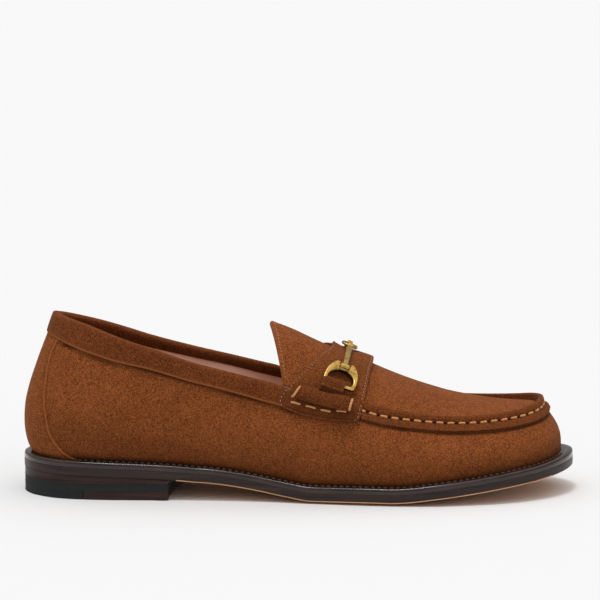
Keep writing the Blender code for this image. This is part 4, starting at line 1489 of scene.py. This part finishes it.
@dataclass
class Collar:
    """Folded suede band over the top line, and the strap up the back seam."""

    wardrobe: Wardrobe
    throat_station: float = 0.500
    band_height: float = 9.6 * MM
    lining_height: float = 5.0 * MM
    band_thickness: float = 1.6 * MM
    strap_width: float = 36 * MM
    strap_thickness: float = 0.7 * MM
    wall: float = LAST.wall_thickness

    def band(self) -> None:
        """Build the band: outer leg with a bare lip, the fold and the inner leg."""
        piece = Piece("collar_binding", [self.wardrobe["suede_trim"]])
        end = LAST.parameter(self.throat_station)
        inside = -self.wall - LAST.gap
        grid, tones = [], []
        for loop in spaced(-end, end, 420):
            station = TOP_LINE.station(abs(loop))
            share = BAND.at("height", station)
            thin = 1 - 0.75 * min(max(station - 0.455, 0) / 0.03, 1)
            near, far = LAST.gap * thin, LAST.gap + self.band_thickness * thin
            rise = (LAST.wall(1, loop) - LAST.wall(1 - LAST.step, loop)).normalized()
            out = LAST.normal(LAST.wall, 1, loop)
            crest = LAST.wall(1, loop)
            puff = (0.25 * MM + 0.12 * MM * soft_noise(crest, 0.018, 4)) * thin
            wave = 0.18 * MM * soft_noise(crest, 0.010, 8)

            def leg(drop: float, away: float) -> Vector:
                return LAST.lifted(LAST.wall, LAST.wall_share(loop, drop), loop, away)

            def crown(away: float, height: float) -> Vector:
                return crest + out * away + rise * height

            tall, short = self.band_height * share + wave, self.lining_height * share
            # Tones: bare lip lighter; painted shadow under the lip, on the inner leg and on the hidden
            # underside.
            section = [(leg(tall + 0.5 * MM, near), -1.0), (leg(tall, far - 0.55 * MM), 0.75),
                       (leg(tall - 0.15 * MM, far - 0.20 * MM), 0.85),
                       (leg(tall - 0.5 * MM, far - 0.02 * MM), 0.5),
                       (leg(tall - 1.1 * MM, far), 0.08), (leg(tall - 2.0 * MM, far + puff * 0.4), 0),
                       (leg(tall * 0.62, far + puff), 0), (leg(tall * 0.35, far + puff * 0.9), 0),
                       (leg(tall * 0.15, far + puff * 0.4), 0), (leg(0.4 * MM, far), 0.05),
                       (crown(far - 0.35 * MM, 0.75 * MM * thin), 0.10),
                       (crown(near + 0.2 * MM, 1.30 * MM * thin), 0.15),
                       (crown(mix(near, inside, 0.5), 1.60 * MM * thin), 0.12),
                       (crown(inside - 0.1 * MM, 1.30 * MM * thin), 0.05),
                       (crown(inside - 0.85 * MM * thin, 0.65 * MM * thin), 0),
                       (leg(short * 0.12, inside - 1.2 * MM * thin), -0.35),
                       (leg(short * 0.45, inside - 1.2 * MM * thin), -0.55),
                       (leg(short * 0.75, inside - 1.15 * MM * thin), -0.55),
                       (leg(short - 0.4 * MM, inside - 1.0 * MM * thin), -0.1),
                       (leg(short, inside - 0.6 * MM * thin), 0.1), (leg(short, inside + 0.05 * MM), -0.6)]
            under = [(leg(short * 0.5, inside + 0.3 * MM), -1), (crown(inside + 0.3 * MM, -0.2 * MM), -1),
                     (crown(near, -0.2 * MM), -1), (leg(tall * 0.5, near - 0.1 * MM), -1)]
            grid.append([point for point, _ in section + under])
            tones.append([tone for _, tone in section + under])
        piece.tube(grid, tones)
        piece.finish("suede_trim", ["collar_band"], sharp=60)

    def back_strap(self) -> None:
        """Build the strap over the back seam, flared to the welt."""
        piece = Piece("back_tape", [self.wardrobe["suede"]])
        top = LAST.wall_share(0, self.band_height * BAND.at("height", TOP_LINE.first) - 0.3 * MM)
        low, high, tones = [], [], []
        for height in spaced(0.004, top, 70):
            half = self.strap_width * BACK_STRAP.at("half", height)
            spread = half / (LAST.wall(height, 0.1) - LAST.wall(height, -0.1)).length * 0.2
            unit = spread / half
            insets = [s * MM for s in (0, 0.15, 0.4, 0.7, 1.0, 1.5, 2.0, 2.6)]
            within = spread - 3.2 * MM * unit
            loops = ([-spread + s * unit for s in insets] + spaced(-within, within, 30)
                     + [spread - s * unit for s in reversed(insets)])
            bottom, upper, shades = [], [], []
            for loop in loops:
                away = (spread - abs(loop)) / unit
                loss = rounded(away, 0.55 * MM)
                point = LAST.wall(height, loop)
                bump = 0.10 * MM * soft_noise(point, 0.014, 11)
                bottom.append(LAST.lifted(LAST.wall, height, loop, -0.1 * MM))
                lift = LAST.gap + self.strap_thickness + bump - loss
                upper.append(LAST.lifted(LAST.wall, height, loop, lift))
                # Tones: bare cut edge lighter, and painted shade in a line 1.5 mm inside the edge.
                shades.append(0.6 * hump(away - 0.35 * MM, 0.3 * MM)
                              - 0.45 * hump(away - 1.5 * MM, 0.45 * MM))
            low.append(bottom)
            high.append(upper)
            tones.append(shades)
        piece.slab(low, high, tones)
        piece.finish("suede", ["back_strap"], sharp=60)

    def make(self) -> None:
        """Build the band and the back strap."""
        self.band()
        self.back_strap()


@dataclass
class ApronSeam:
    """Moccasin seam: a rolled upper lip, a lower lip and big stitches in the groove between them."""

    wardrobe: Wardrobe
    stitching: Stitching
    line: SeamLine
    lip_height: float = 4.5 * MM
    skirt: float = 3.9 * MM
    steps: int = 900

    def section(self, loop: float) -> list[tuple[Vector, float]]:
        """Points once round the seam at a loop, each with its tone: painted shade in the stitch groove and
        holes, under the skirt and in the trench to the apron, and the lower lip's bare edge lighter.
        """
        seam, out = LAST.top_line(loop), LAST.outward("top_line", loop)
        beat = cos(2 * pi * self.line.beat(loop))
        hole = max(-beat, 0) ** 3
        wave = 0.10 * MM * soft_noise(seam, 0.008, 6)

        def on_apron(inset: float) -> Vector:
            point = seam - out * inset
            point.z = max(LAST.apron_height(point.x, point.y), seam.z) + LAST.gap
            return point

        inner = on_apron(3.0 * MM)
        tall = max(self.lip_height, inner.z + 1.2 * MM - seam.z) / (4.5 * MM)

        def lower(drop: float, away: float) -> Vector:
            return LAST.lifted(LAST.wall, LAST.wall_share(loop, drop * MM), loop, away * MM)

        def upper(across: float, height: float) -> Vector:
            return seam + out * (across * MM) + Vector((0, 0, height * MM * tall))

        skirt = self.skirt / MM + 0.12 * beat + wave / MM
        proud = 0.10 * beat
        section = [(lower(skirt - 0.1, 0.1), -1.0), (lower(skirt + 0.10, 0.9), -0.5),
                   (lower(skirt, 1.55 + proud), 0.35), (lower(skirt - 0.5, 2.05 + proud), 0.15),
                   (lower(2.5, 2.30 + proud), 0.05), (lower(1.6, 2.20 + proud), 0.0),
                   (lower(1.0, 1.85 + proud * 0.5), -0.1 - 0.3 * hole),
                   (lower(0.55, 1.25), -0.4 - 0.5 * hole),
                   (lower(0.05, 0.70 - 0.35 * hole), -0.6 - 0.4 * hole),
                   (upper(0.50 - 0.3 * hole, 0.45), -0.5 - 0.5 * hole),
                   (upper(0.80 - 0.2 * hole, 0.85), -0.2 - 0.4 * hole), (upper(1.00 + proud, 1.4), -0.05),
                   (upper(1.05 + proud * 0.7, 2.1), 0.0), (upper(0.85 + proud * 0.5, 2.9), 0.02),
                   (upper(0.45, 3.65), 0.05), (upper(-0.10, 4.2), 0.08), (upper(-0.80, 4.48), 0.10),
                   (upper(-1.45, 4.40), 0.08), (upper(-2.0, 4.0), 0.0), (upper(-2.3, 3.4), -0.25),
                   (on_apron(2.55 * MM) + Vector((0, 0, 0.5 * MM)), -0.7 - 0.2 * hole),
                   (on_apron(3.1 * MM) + Vector((0, 0, 0.1 * MM)), -0.6), (on_apron(1.5 * MM), -1),
                   (seam + Vector((0, 0, 0.3 * MM)), -1)]
        return section

    def make(self) -> None:
        """Build the lips and sew the stitches."""
        piece = Piece("moccasin_seam", [self.wardrobe["suede_trim"]])
        start = self.line.loops[0] - 0.002
        grid, tones = [], []
        for loop in spaced(start, 2 - start, self.steps):
            section = self.section(loop)
            grid.append([point for point, _ in section])
            tones.append([max(tone, -1) for _, tone in section])
        piece.tube(grid, tones)
        piece.finish("suede_trim", ["apron_seam"], sharp=70)
        self.stitching.row("moccasin_stitches", [self.line.thread],
                           StitchForm(4.9 * MM, 1.5 * MM, self.line.pitch),
                           "seam_thread", "suede_trim", wander=0.06)


# Threads wrapped over a roll's ends: places along it and angles in degrees, each first and last
ROLL_WRAPS = ((-0.82, -0.99, 50, 178), (0.90, 0.90, 42, 158))


@dataclass
class SaddleStrap:
    """Strap across the instep with a tab over the wall at each end, its fine edge stitches and rolls."""

    wardrobe: Wardrobe
    stitching: Stitching
    thickness: float = 2.8 * MM
    corner: float = 3.0 * MM
    edge: float = 0.7 * MM
    stitch_inset: float = 1.35 * MM
    roll_length: float = 33 * MM
    roll_width: float = 8.2 * MM
    roll_thickness: float = 6.0 * MM
    roll_reach: float = 1.04
    wrap_radius: float = 0.68 * MM

    def reaches(self) -> list[float]:
        """Reaches along the strap, closer together at the ends of the tabs."""
        unit = self.tab_unit()
        ends = [2 - s * MM * unit for s in (0, 0.12, 0.35, 0.7, 1.1, 1.7, 2.4, 3.2)]
        side = spaced(0, 1, 60) + spaced(1, ends[-1], 34)[1:-1] + list(reversed(ends))
        return [-r for r in reversed(side)] + side[1:]

    @staticmethod
    def tab_unit() -> float:
        """Reach for each metre along the tab."""
        return 0.3 / (LAST.strap_point(-1.95, 0.5, 0) - LAST.strap_point(-1.65, 0.5, 0)).length

    def top(self, share: float) -> float:
        """Height of the strap's face above the upper at a share of its width."""
        return LAST.gap + self.thickness * (0.46 + 0.34 * share + 1.15 * share * (1 - share))

    def face(self, reach: float, share: float) -> float:
        """Height of the strap's face, fuller over the crest of the instep."""
        front, rear = 0.46 * hump(reach, 0.55) * share ** 3, 0.80 * hump(reach, 0.08) * (1 - share) ** 6
        tab = 0.30 * min(max(abs(reach) - 0.65, 0) / 0.25, 1) * (1 - share) ** 2
        return self.top(share) + self.thickness * (front + rear + tab)

    def oval(self, across: Vector, up: Vector, angle: float) -> Vector:
        """Way from the roll's centre line to a place on its oval section."""
        return across * (cos(angle) * self.roll_width / 2) + up * (sin(angle) * self.roll_thickness / 2)

    def strap(self) -> None:
        """Build the strap with rounded edges and tab corners."""
        piece = Piece("instep_strap", [self.wardrobe["suede"]])
        unit = self.tab_unit()
        low, high, tones = [], [], []
        for reach in self.reaches():
            wide = LAST.strap_width(reach)
            away_end = (2 - abs(reach)) / unit
            pull = rounded(away_end, self.corner)
            insets = [pull + s * MM for s in (0, 0.12, 0.35, 0.7, 1.1, 1.6)]
            near = (pull + 2.3 * MM) / wide
            shares = ([s / wide for s in insets] + spaced(near, 1 - near, 26)
                      + [1 - s / wide for s in reversed(insets)])
            bottom, upper, shades = [], [], []
            for share in shares:
                away = min(share, 1 - share) * wide - pull
                near = min(away, away_end)
                loss = rounded(near, self.edge)
                point = LAST.strap_point(reach, share, 0)
                wave = 0.14 * MM * soft_noise(point, 0.016, 13)
                dip = 0.22 * MM * hump(near - self.stitch_inset, 0.5 * MM)
                bottom.append(LAST.strap_point(reach, share, 0.05 * MM))
                upper.append(LAST.strap_point(reach, share, self.face(reach, share) + wave - loss - dip))
                # Tones: bare cut edge lighter; painted shadow along the very edge and in the stitch dip; the
                # whole strap a little darker, and painted shade on the tabs below the rolls.
                shades.append(0.45 * hump(near - 0.35 * MM, 0.40 * MM) - 0.9 * hump(near, 0.12 * MM)
                              - 0.30 * hump(near - self.stitch_inset, 0.5 * MM)
                              - 0.30 - 0.35 * min(max(abs(reach) - 0.95, 0) / 0.15, 1))
            low.append(bottom)
            high.append(upper)
            tones.append(shades)
        piece.slab(low, high, tones)
        piece.finish("suede", ["saddle_strap"], sharp=60)

    def edge_lines(self) -> list[ThreadLine]:
        """Lines of the fine stitches inside both edges."""
        lines = []
        for front in (False, True):
            points, ups = [], []
            for reach in spaced(-1.88, 1.88, 420):
                wide = LAST.strap_width(reach)
                share = self.stitch_inset / wide
                share = 1 - share if front else share
                points.append(LAST.strap_point(reach, share, self.face(reach, share) - 0.12 * MM))
                ups.append((LAST.strap_point(reach, share, 1 * MM)
                            - LAST.strap_point(reach, share, 0)).normalized())
            lines.append(ThreadLine(points, ups))
        return lines

    def roll_frame(self, side: Side, along: float) -> tuple[Vector, Vector, Vector]:
        """Middle, across and up directions of the roll at a place from -1 to 1 along it."""
        reach = side.value * self.roll_reach
        width = LAST.strap_width(reach)
        share = 0.5 + self.roll_length / 2 / width * along
        base = LAST.gap * 2 + self.thickness
        middle = LAST.strap_point(reach, share, base + self.roll_thickness / 2)
        up = (LAST.strap_point(reach, share, base + self.roll_thickness) - middle).normalized()
        ahead = (LAST.strap_point(reach, share + 0.02, base + self.roll_thickness / 2) - middle).normalized()
        return middle, ahead.cross(up) * side.value, up

    def roll(self, side: Side) -> None:
        """Build the sewn roll at one end of the strap, pinched where its end stitches pull."""
        piece = Piece(f"roll_tube_{side.word}", [self.wardrobe["suede_trim"]])
        grid, tones = [], []
        for u in spaced(0, 1, 70):
            along = -cos(pi * u)
            middle, across, up = self.roll_frame(side, along)
            fat = max(1 - abs(along) ** 9, 0.02) ** 0.5
            fat *= 1 - 0.22 * hump(abs(along) - 0.90, 0.05)
            fat *= 1 + 0.03 * soft_noise(middle, 0.012, 3)
            row, shades = [], []
            for angle in turns(36):
                row.append(middle + self.oval(across, up, angle) * fat)
                # Painted shade: darker on the roll's underside and at its pinched ends.
                shades.append(-0.5 * hump(abs(along) - 0.90, 0.035) - 0.6 * max(-sin(angle), 0))
            grid.append(row)
            tones.append(shades)
        piece.tube(grid, tones)
        piece.finish("suede_trim", [f"roll_{side.word}"], sharp=70)

    def big_stitches(self) -> None:
        """Sew the wraps over both ends of each roll and the row below it."""
        lines, wraps = [], []
        for side in Side:
            points, ups = [], []
            for share in spaced(0.215, 0.77, 60):
                drop = 0.128 - 0.038 * min(max(share - 0.60, 0) / 0.17, 1)
                points.append(LAST.tab_point(side.value, share, drop, self.face(1.3, share) + 0.35 * MM))
                ups.append((LAST.tab_point(side.value, share, drop, 1 * MM)
                            - LAST.tab_point(side.value, share, drop, 0)).normalized())
            lines.append(ThreadLine(points, ups))
            for start, end, first, last in ROLL_WRAPS:
                points, ups = [], []
                for u in spaced(0, 1, 40):
                    middle, across, up = self.roll_frame(side, mix(start, end, u))
                    angle = radians(mix(first, last, u))
                    turned = self.oval(across, up, angle)
                    points.append(middle + turned * 0.84)
                    ups.append(turned.normalized())
                wraps.append(ThreadLine(points, ups))
        form = StitchForm(6.6 * MM, 1.3 * MM, 8.3 * MM)
        self.stitching.row("tab_stitches", lines, form, "seam_thread", "suede")
        self.wraps(wraps)

    def wraps(self, lines: list[ThreadLine]) -> None:
        """Build the threads wrapped over the rolls' ends."""
        piece = Piece("roll_wraps", [self.wardrobe["seam_thread"]])
        for line in lines:
            grid = []
            for i, (point, up) in enumerate(zip(line.points, line.ups)):
                before, after = line.points[max(i - 1, 0)], line.points[min(i + 1, len(line.points) - 1)]
                along = (after - before).normalized()
                aside = along.cross(up).normalized()
                grid.append([point + (aside * cos(a) + up * sin(a)) * self.wrap_radius
                             * (1 - 0.15 * abs(sin(1.5 * a + 0.35 * i)))
                             for a in turns(16)])
            piece.tube(grid)
        piece.finish("suede_trim", sharp=70)

    def make(self) -> None:
        """Build the strap, its rolls and its stitches."""
        self.strap()
        for side in Side:
            self.roll(side)
        self.stitching.row("strap_stitches", self.edge_lines(), FINE_STITCH, "fine_thread", "suede")
        self.big_stitches()


# One half of a cast ring: its outer and inner edge in millimetres, along the strap's width and up
# from the middle of the bar in the keeper, from that bar round to the crosspiece behind the hinge
RING = (
    ((0.0, -1.1), (0.0, 1.1)),
    ((4.0, -1.1), (4.0, 1.1)),
    ((6.8, -1.0), (5.9, 1.15)),
    ((8.3, -0.3), (6.6, 1.7)),
    ((8.9, 1.5), (6.95, 3.0)),
    ((9.05, 5.0), (6.95, 4.8)),
    ((8.6, 9.0), (6.2, 7.0)),
    ((7.6, 12.1), (4.6, 8.7)),
    ((6.2, 14.6), (3.6, 9.4)),
    ((5.3, 15.7), (3.2, 9.65)),
    ((4.4, 16.3), (2.9, 9.8)),
    ((3.5, 16.4), (2.7, 9.9)),
    ((3.1, 16.2), (2.5, 9.95)),
    ((2.95, 13.2), (2.2, 10.05)),
    ((2.6, 12.5), (1.6, 10.15)),
    ((0.0, 12.3), (0.0, 10.2)),
)


# Facetted bar from its hinge pin to its eye: share of its length, width and thickness in millimetres
BAR = (
    (0.00, 2.5, 1.7),
    (0.10, 2.7, 1.9),
    (0.35, 2.9, 2.1),
    (0.62, 3.1, 2.3),
    (0.80, 3.3, 2.3),
    (0.88, 3.1, 2.2),
    (0.95, 2.5, 1.9),
)


def smooth_loop(pairs: Sequence[tuple], steps: int) -> list[tuple]:
    """Closed run of pairs of points with a smooth curve through it.

    Args:
        pairs: pairs of points in a plane.
        steps: points for each gap between two pairs.

    Returns:
        The finer run of pairs.
    """
    flat = [outer + inner for outer, inner in pairs]
    made = []
    for i in range(len(flat)):
        a, b, c, d = (flat[(i + k) % len(flat)] for k in (-1, 0, 1, 2))
        for step in range(steps):
            u = step / steps
            point = [0.5 * (2 * q + (r - p) * u + (2 * p - 5 * q + 4 * r - s) * u * u
                            + (3 * q - p - 3 * r + s) * u ** 3) for p, q, r, s in zip(a, b, c, d)]
            made.append((tuple(point[:2]), tuple(point[2:])))
    return made


def rounded_box(half: float, deep: float, corner: float, steps: int = 4) -> list[tuple[float, float]]:
    """Section of a bar with rounded corners.

    Args:
        half: half of its width.
        deep: half of its depth.
        corner: radius of its corners.
        steps: pieces of each corner.

    Returns:
        Points round the section.
    """
    corner = min(corner, half * 0.9, deep * 0.9)
    points = []
    for quarter, (a, b) in enumerate(((1, 1), (-1, 1), (-1, -1), (1, -1))):
        for step in range(steps + 1):
            angle = pi / 2 * (quarter + step / steps)
            points.append((a * (half - corner) + cos(angle) * corner,
                           b * (deep - corner) + sin(angle) * corner))
    return points


@dataclass
class Bit:
    """Antique brass snaffle bit: two cast rings in leather keepers, two bars and a round link."""

    wardrobe: Wardrobe
    wire: float = 2.2 * MM
    corner: float = 0.55 * MM
    tall: float = 14.3 * MM
    pin_wire: float = 1.2 * MM
    barrel: float = 3.4 * MM
    barrel_width: float = 4.8 * MM
    eye: float = 3.5 * MM
    eye_width: float = 2.7 * MM
    link: float = 9.2 * MM
    link_wire: float = 1.6 * MM
    clearance: float = 0.15 * MM
    pin_seat: float = 3.4 * MM
    ring_seat: float = 2.2 * MM
    keeper_play: float = 0.4 * MM
    eye_seat: float = 0.3 * MM
    bar_reach: float = 0.903
    chamfer: float = 0.32
    pin_reach: float = 0.672
    share: float = 0.41
    strap_top: float = LAST.gap + SaddleStrap.thickness
    keeper_length: float = 12.2 * MM
    keeper_thickness: float = 1.1 * MM
    keeper_shift: float = 2.7 * MM
    ring_turn: float = 0.5

    @property
    def toe(self) -> Vector:
        """Direction in which the strap's crest slopes to the toe."""
        slope = LAST.strap_point(0, 0.7, 0) - LAST.strap_point(0, 0.3, 0)
        return Vector((slope.x, 0, slope.z)).normalized()

    def in_plane(self, reach: float, out: float, origin: Vector) -> Vector:
        """Point over the strap at a reach, in the plane through a point across the bit's pins."""
        rear, front = 0.0, 1.0
        for _ in range(30):
            share = (rear + front) / 2
            if self.toe.dot(LAST.strap_point(reach, share, out) - origin) < 0:
                rear = share
            else:
                front = share
        return LAST.strap_point(reach, share, out)

    def places(self, side: Side) -> tuple[Vector, Vector, Vector]:
        """Middle of the ring's bar, of its hinge pin and of the eye on one side."""
        rest = LAST.strap_point(0, self.share, self.strap_top)
        eye = rest + Vector((0, side.value * (self.link - self.link_wire) / 2, self.eye / 2 + self.eye_seat))
        lift = LAST.gap + self.keeper_thickness + self.ring_seat
        bar = self.in_plane(side.value * self.bar_reach, self.strap_top + lift, eye)
        return bar, self.in_plane(side.value * self.pin_reach, self.strap_top + self.pin_seat, eye), eye

    def across(self, side: Side) -> Vector:
        """Direction of the ring's bar: between the pins' and the strap's own one at the keeper."""
        bar, pin, _ = self.places(side)
        up, reach = (pin - bar).normalized(), side.value * self.bar_reach
        local = LAST.strap_point(reach, 0.65, 0) - LAST.strap_point(reach, 0.25, 0)
        mean = local.normalized() * self.ring_turn + self.toe * (1 - self.ring_turn)
        return (mean - up * mean.dot(up)).normalized()

    def ring(self, side: Side) -> None:
        """Build the cast ring with two broad lugs, and the hinge pin between them."""
        bar, pin, _ = self.places(side)
        up, toe = (pin - bar).normalized(), self.across(side)
        normal = up.cross(toe) * side.value
        size = (pin - bar).length / self.tall
        piece = Piece(f"bit_ring_{side.word}", [self.wardrobe["brass"]])
        pairs = RING + tuple(((-o[0], o[1]), (-i[0], i[1])) for o, i in RING[-2:0:-1])
        grid, tones = [], []
        for outer, inner in smooth_loop(pairs, 5):
            edges = [bar + toe * (t * MM) + up * (u * MM * size) for t, u in (outer, inner)]
            middle, half = (edges[0] + edges[1]) / 2, (edges[0] - edges[1]).length / 2
            spoke = (edges[0] - edges[1]).normalized()
            row, shades = [], []
            # Painted shade: darker on the ring's back face and inner edge, and where the hinge barrel hides
            # the crosspiece.
            hidden = 0.5 if abs(inner[0]) < 2.6 and inner[1] > 9 else 0
            for a, b in rounded_box(half, self.wire / 2, self.corner):
                row.append(middle + spoke * a + normal * b)
                inward = 0.55 * max(0, -a / half) ** 2
                shades.append(-0.95 * max(0, 1 - (b + self.wire / 2) / (self.wire * 0.80)) - inward - hidden)
            grid.append(row)
            tones.append(shades)
        piece.tube(grid, tones, wrap=True)
        self.rod(piece, pin - toe * 4.0 * MM, pin + toe * 4.0 * MM, self.pin_wire / 2)
        piece.finish("antique_brass", [f"ring_{side.word}"], sharp=42)

    @staticmethod
    def rod(piece: Piece, start: Vector, end: Vector, radius: float, bevel: float = 0.25 * MM) -> None:
        """Add a round rod with bevelled ends to a piece."""
        along = (end - start).normalized()
        first = along.cross(Vector((0, 0, 1))).normalized()
        second = along.cross(first)
        grid = []
        whole = (end - start).length
        for place, loss in ((0, bevel), (bevel, 0), (whole - bevel, 0), (whole, bevel)):
            grid.append([start + along * place + (first * cos(a) + second * sin(a)) * (radius - loss)
                         for a in turns(24)])
        piece.tube(grid)

    def bar(self, side: Side) -> None:
        """Build the facetted bar with its barrel and its eye."""
        _, pin, eye = self.places(side)
        toe = self.toe
        along = (eye - pin).normalized()
        normal = toe.cross(along) * side.value
        length = (eye - pin).length
        piece = Piece(f"bit_bar_{side.word}", [self.wardrobe["brass"]])
        axis = self.across(side)
        self.rod(piece, pin - axis * self.barrel_width / 2, pin + axis * self.barrel_width / 2,
                 self.barrel / 2)
        grid = []
        for place, wide, thick in BAR:
            centre = pin + along * (length * place)
            half, deep = wide * MM / 2, thick * MM / 2
            chamfer = self.chamfer
            corners = [(1, 1 - chamfer), (1 - chamfer, 1), (-1 + chamfer, 1), (-1, 1 - chamfer),
                       (-1, -1 + chamfer), (-1 + chamfer, -1), (1 - chamfer, -1), (1, -1 + chamfer)]
            grid.append([centre + toe * (half * a) + normal * (deep * b) for a, b in corners])
        piece.tube(grid)
        ring = []
        for angle in turns(28):
            spoke = along * cos(angle) + normal * sin(angle)
            inner, outer = self.link_wire / 2 + self.clearance, self.eye / 2
            half = self.eye_width / 2
            middle = eye + spoke * ((inner + outer) / 2)
            thick = (outer - inner) / 2
            soft = 0.45 * thick
            ring.append([middle + spoke * a + toe * b for a, b in (
                (thick, half - soft), (thick - soft, half), (-thick + soft, half), (-thick, half - soft),
                (-thick, -half + soft), (-thick + soft, -half), (thick - soft, -half),
                (thick, -half + soft))])
        piece.tube(ring, wrap=True)
        piece.finish("antique_brass", [f"bar_{side.word}"], sharp=28)

    def middle_link(self) -> None:
        """Build the round link over the crest of the strap."""
        lateral, medial = self.places(Side.LATERAL)[2], self.places(Side.MEDIAL)[2]
        centre, slope = (lateral + medial) / 2, self.toe
        radius = (medial - lateral).length / 2
        piece = Piece("bit_link", [self.wardrobe["brass"]])
        up = slope.cross(Vector((0, 1, 0)))
        grid = []
        for angle in turns(72):
            out = slope * cos(angle) + Vector((0, sin(angle), 0))
            grid.append([centre + out * radius + (out * cos(b) + up * sin(b)) * (self.link_wire / 2)
                         for b in turns(16)])
        piece.tube(grid, wrap=True)
        piece.finish("antique_brass", ["centre_link"], sharp=60)

    def keeper(self, side: Side) -> None:
        """Build the leather keeper: a loop round the ring's bar whose tail goes under the roll."""
        bar, pin, _ = self.places(side)
        up, toe = (pin - bar).normalized(), self.across(side)
        normal = toe.cross(up) * side.value
        piece = Piece(f"bit_keeper_{side.word}", [self.wardrobe["suede_trim"]])
        radius = 1.1 * MM + self.keeper_play + self.keeper_thickness
        grid, tones = [], []
        half = self.keeper_length / 2
        for place in [-1, -0.985, -0.95, -0.90] + spaced(-0.8, 0.8, 16) + [0.90, 0.95, 0.985, 1]:
            loss = rounded((1 - abs(place)) * half, 0.9 * MM)
            arch = 0.7 * MM * (1 - place * place)
            row, shades = [], []
            for angle in turns(44):
                c, s = cos(angle), sin(angle)
                reach = radius - loss
                point = up * (c * (reach + (arch if c > 0 else 0))) + normal * (s * reach)
                if c < 0:
                    tail = min(-c * 1.35, 1)
                    point = (up * (-tail * 6.4 * MM)
                             + normal * (s * reach * (1 - 0.35 * tail) + 1.3 * MM * tail))
                bump = 0.22 * MM * soft_noise(bar + toe * place * half + point, 0.004, 17)
                row.append(bar - toe * self.keeper_shift + toe * place * half + point * (1 + bump / radius))
                # Tones: cut ends lighter, the torn edge lighter with a painted highlight, and painted shadow
                # where the tail goes into the slot under the roll.
                fall = -point.dot(up)
                low = min(max(fall - 3.6 * MM, 0) / (0.6 * MM), 1)
                torn_edge_highlight = 0.5 * hump(fall - 3.3 * MM, 0.35 * MM)
                shades.append(max(0.4 * hump((1 - abs(place)) * half, 0.5 * MM)
                                  + torn_edge_highlight - 1.8 * low - 0.15, -1.2))
            grid.append(row)
            tones.append(shades)
        piece.tube(grid, tones)
        piece.finish("suede_trim", [f"keeper_{side.word}"], sharp=60)

    def make(self) -> None:
        """Build both halves of the bit and its link."""
        for side in Side:
            self.keeper(side)
            self.ring(side)
            self.bar(side)
        self.middle_link()


@dataclass
class Studio:
    """White floor, soft light and the camera at the photograph's angle."""

    distance: float = 1.9
    elevation: float = 8.2
    azimuth: float = 0.0
    lens: float = 212.5
    target: Vector = field(default_factory=lambda: Vector((0.0006, 0, 0.1024)))
    floor_albedo: float = 0.815
    walls: float = 0.34
    box: float = 1.20
    box_from: float = 0.45
    box_to: float = 0.90
    overhead: float = 1.05
    front: float = 0.20

    def camera(self) -> None:
        """Place the camera."""
        made = add_object("camera", bpy.data.cameras.new("camera"))
        made.data.lens, made.data.sensor_width = self.lens, 36
        made.data.clip_end = 100
        turned, raised = radians(self.azimuth), radians(self.elevation)
        away = Vector((sin(turned) * cos(raised), -cos(turned) * cos(raised), sin(raised)))
        made.location = self.target + away * self.distance
        made.rotation_euler = (-away).to_track_quat("-Z", "Y").to_euler()
        bpy.context.scene.camera = made

    def floor(self) -> None:
        """Lay the floor."""
        mesh = bpy.data.meshes.new("floor")
        half = 30.0
        corners = [(-half, -half, 0), (half, -half, 0), (half, half, 0), (-half, half, 0)]
        mesh.from_pydata(corners, [], [(0, 1, 2, 3)])
        made = add_object("floor", mesh)
        shader = Shader("studio_floor")
        white = self.floor_albedo
        shader.constants(Base_Color=(white, white, white, 1), Roughness=1.0, Specular_IOR_Level=0.0)
        made.data.materials.append(shader.material)

    @staticmethod
    def light(name: str, direction: Sequence[float], strength: float, angle: float) -> None:
        """Add a broad, far light.

        Args:
            name: the light's name.
            direction: where the light comes from.
            strength: its strength.
            angle: how broad it looks, in degrees.
        """
        data = bpy.data.lights.new(name, "SUN")
        data.energy, data.angle = strength, radians(angle)
        made = add_object(name, data)
        made.rotation_euler = Vector(direction).to_track_quat("Z", "Y").to_euler()

    def world(self) -> None:
        """Light the room: dim walls and a broad soft box overhead."""
        made = bpy.data.worlds.new("studio")
        made.use_nodes = True
        tree = made.node_tree
        place = add_node(tree, "ShaderNodeTexCoord", {})
        split = add_node(tree, "ShaderNodeSeparateXYZ", {0: place.outputs["Generated"]})
        ramp = add_node(tree, "ShaderNodeMapRange", {
            "Value": split.outputs["Z"], "From Min": self.box_from, "From Max": self.box_to,
            "To Min": self.walls, "To Max": self.box}, interpolation_type="SMOOTHSTEP")
        tree.links.new(ramp.outputs[0], tree.nodes["Background"].inputs["Strength"])
        tree.nodes["Background"].inputs["Color"].default_value = (1, 1, 1, 1)
        bpy.context.scene.world = made

    def make(self) -> None:
        """Set the whole stage."""
        bpy.context.scene.view_settings.view_transform = "Standard"
        self.world()
        self.floor()
        self.light("overhead", (-0.10, -0.12, 1.0), self.overhead, 12)
        self.light("front", (0.35, -1.0, 0.55), self.front, 40)
        self.camera()


def main() -> None:
    """Build the shoe piece by piece and set its stage."""
    logging.basicConfig(level=logging.INFO, format="%(name)s: %(message)s")
    wardrobe = Wardrobe()
    stitching = Stitching(wardrobe)
    seam = SeamLine()
    Sole(wardrobe, stitching).make()
    Heel(wardrobe).make()
    Upper(wardrobe, seam).make()
    Lining(wardrobe).make()
    Tongue(wardrobe, stitching).make()
    Collar(wardrobe).make()
    ApronSeam(wardrobe, stitching, seam).make()
    SaddleStrap(wardrobe, stitching).make()
    Bit(wardrobe).make()
    Studio().make()


if __name__ == "__main__":
    main()
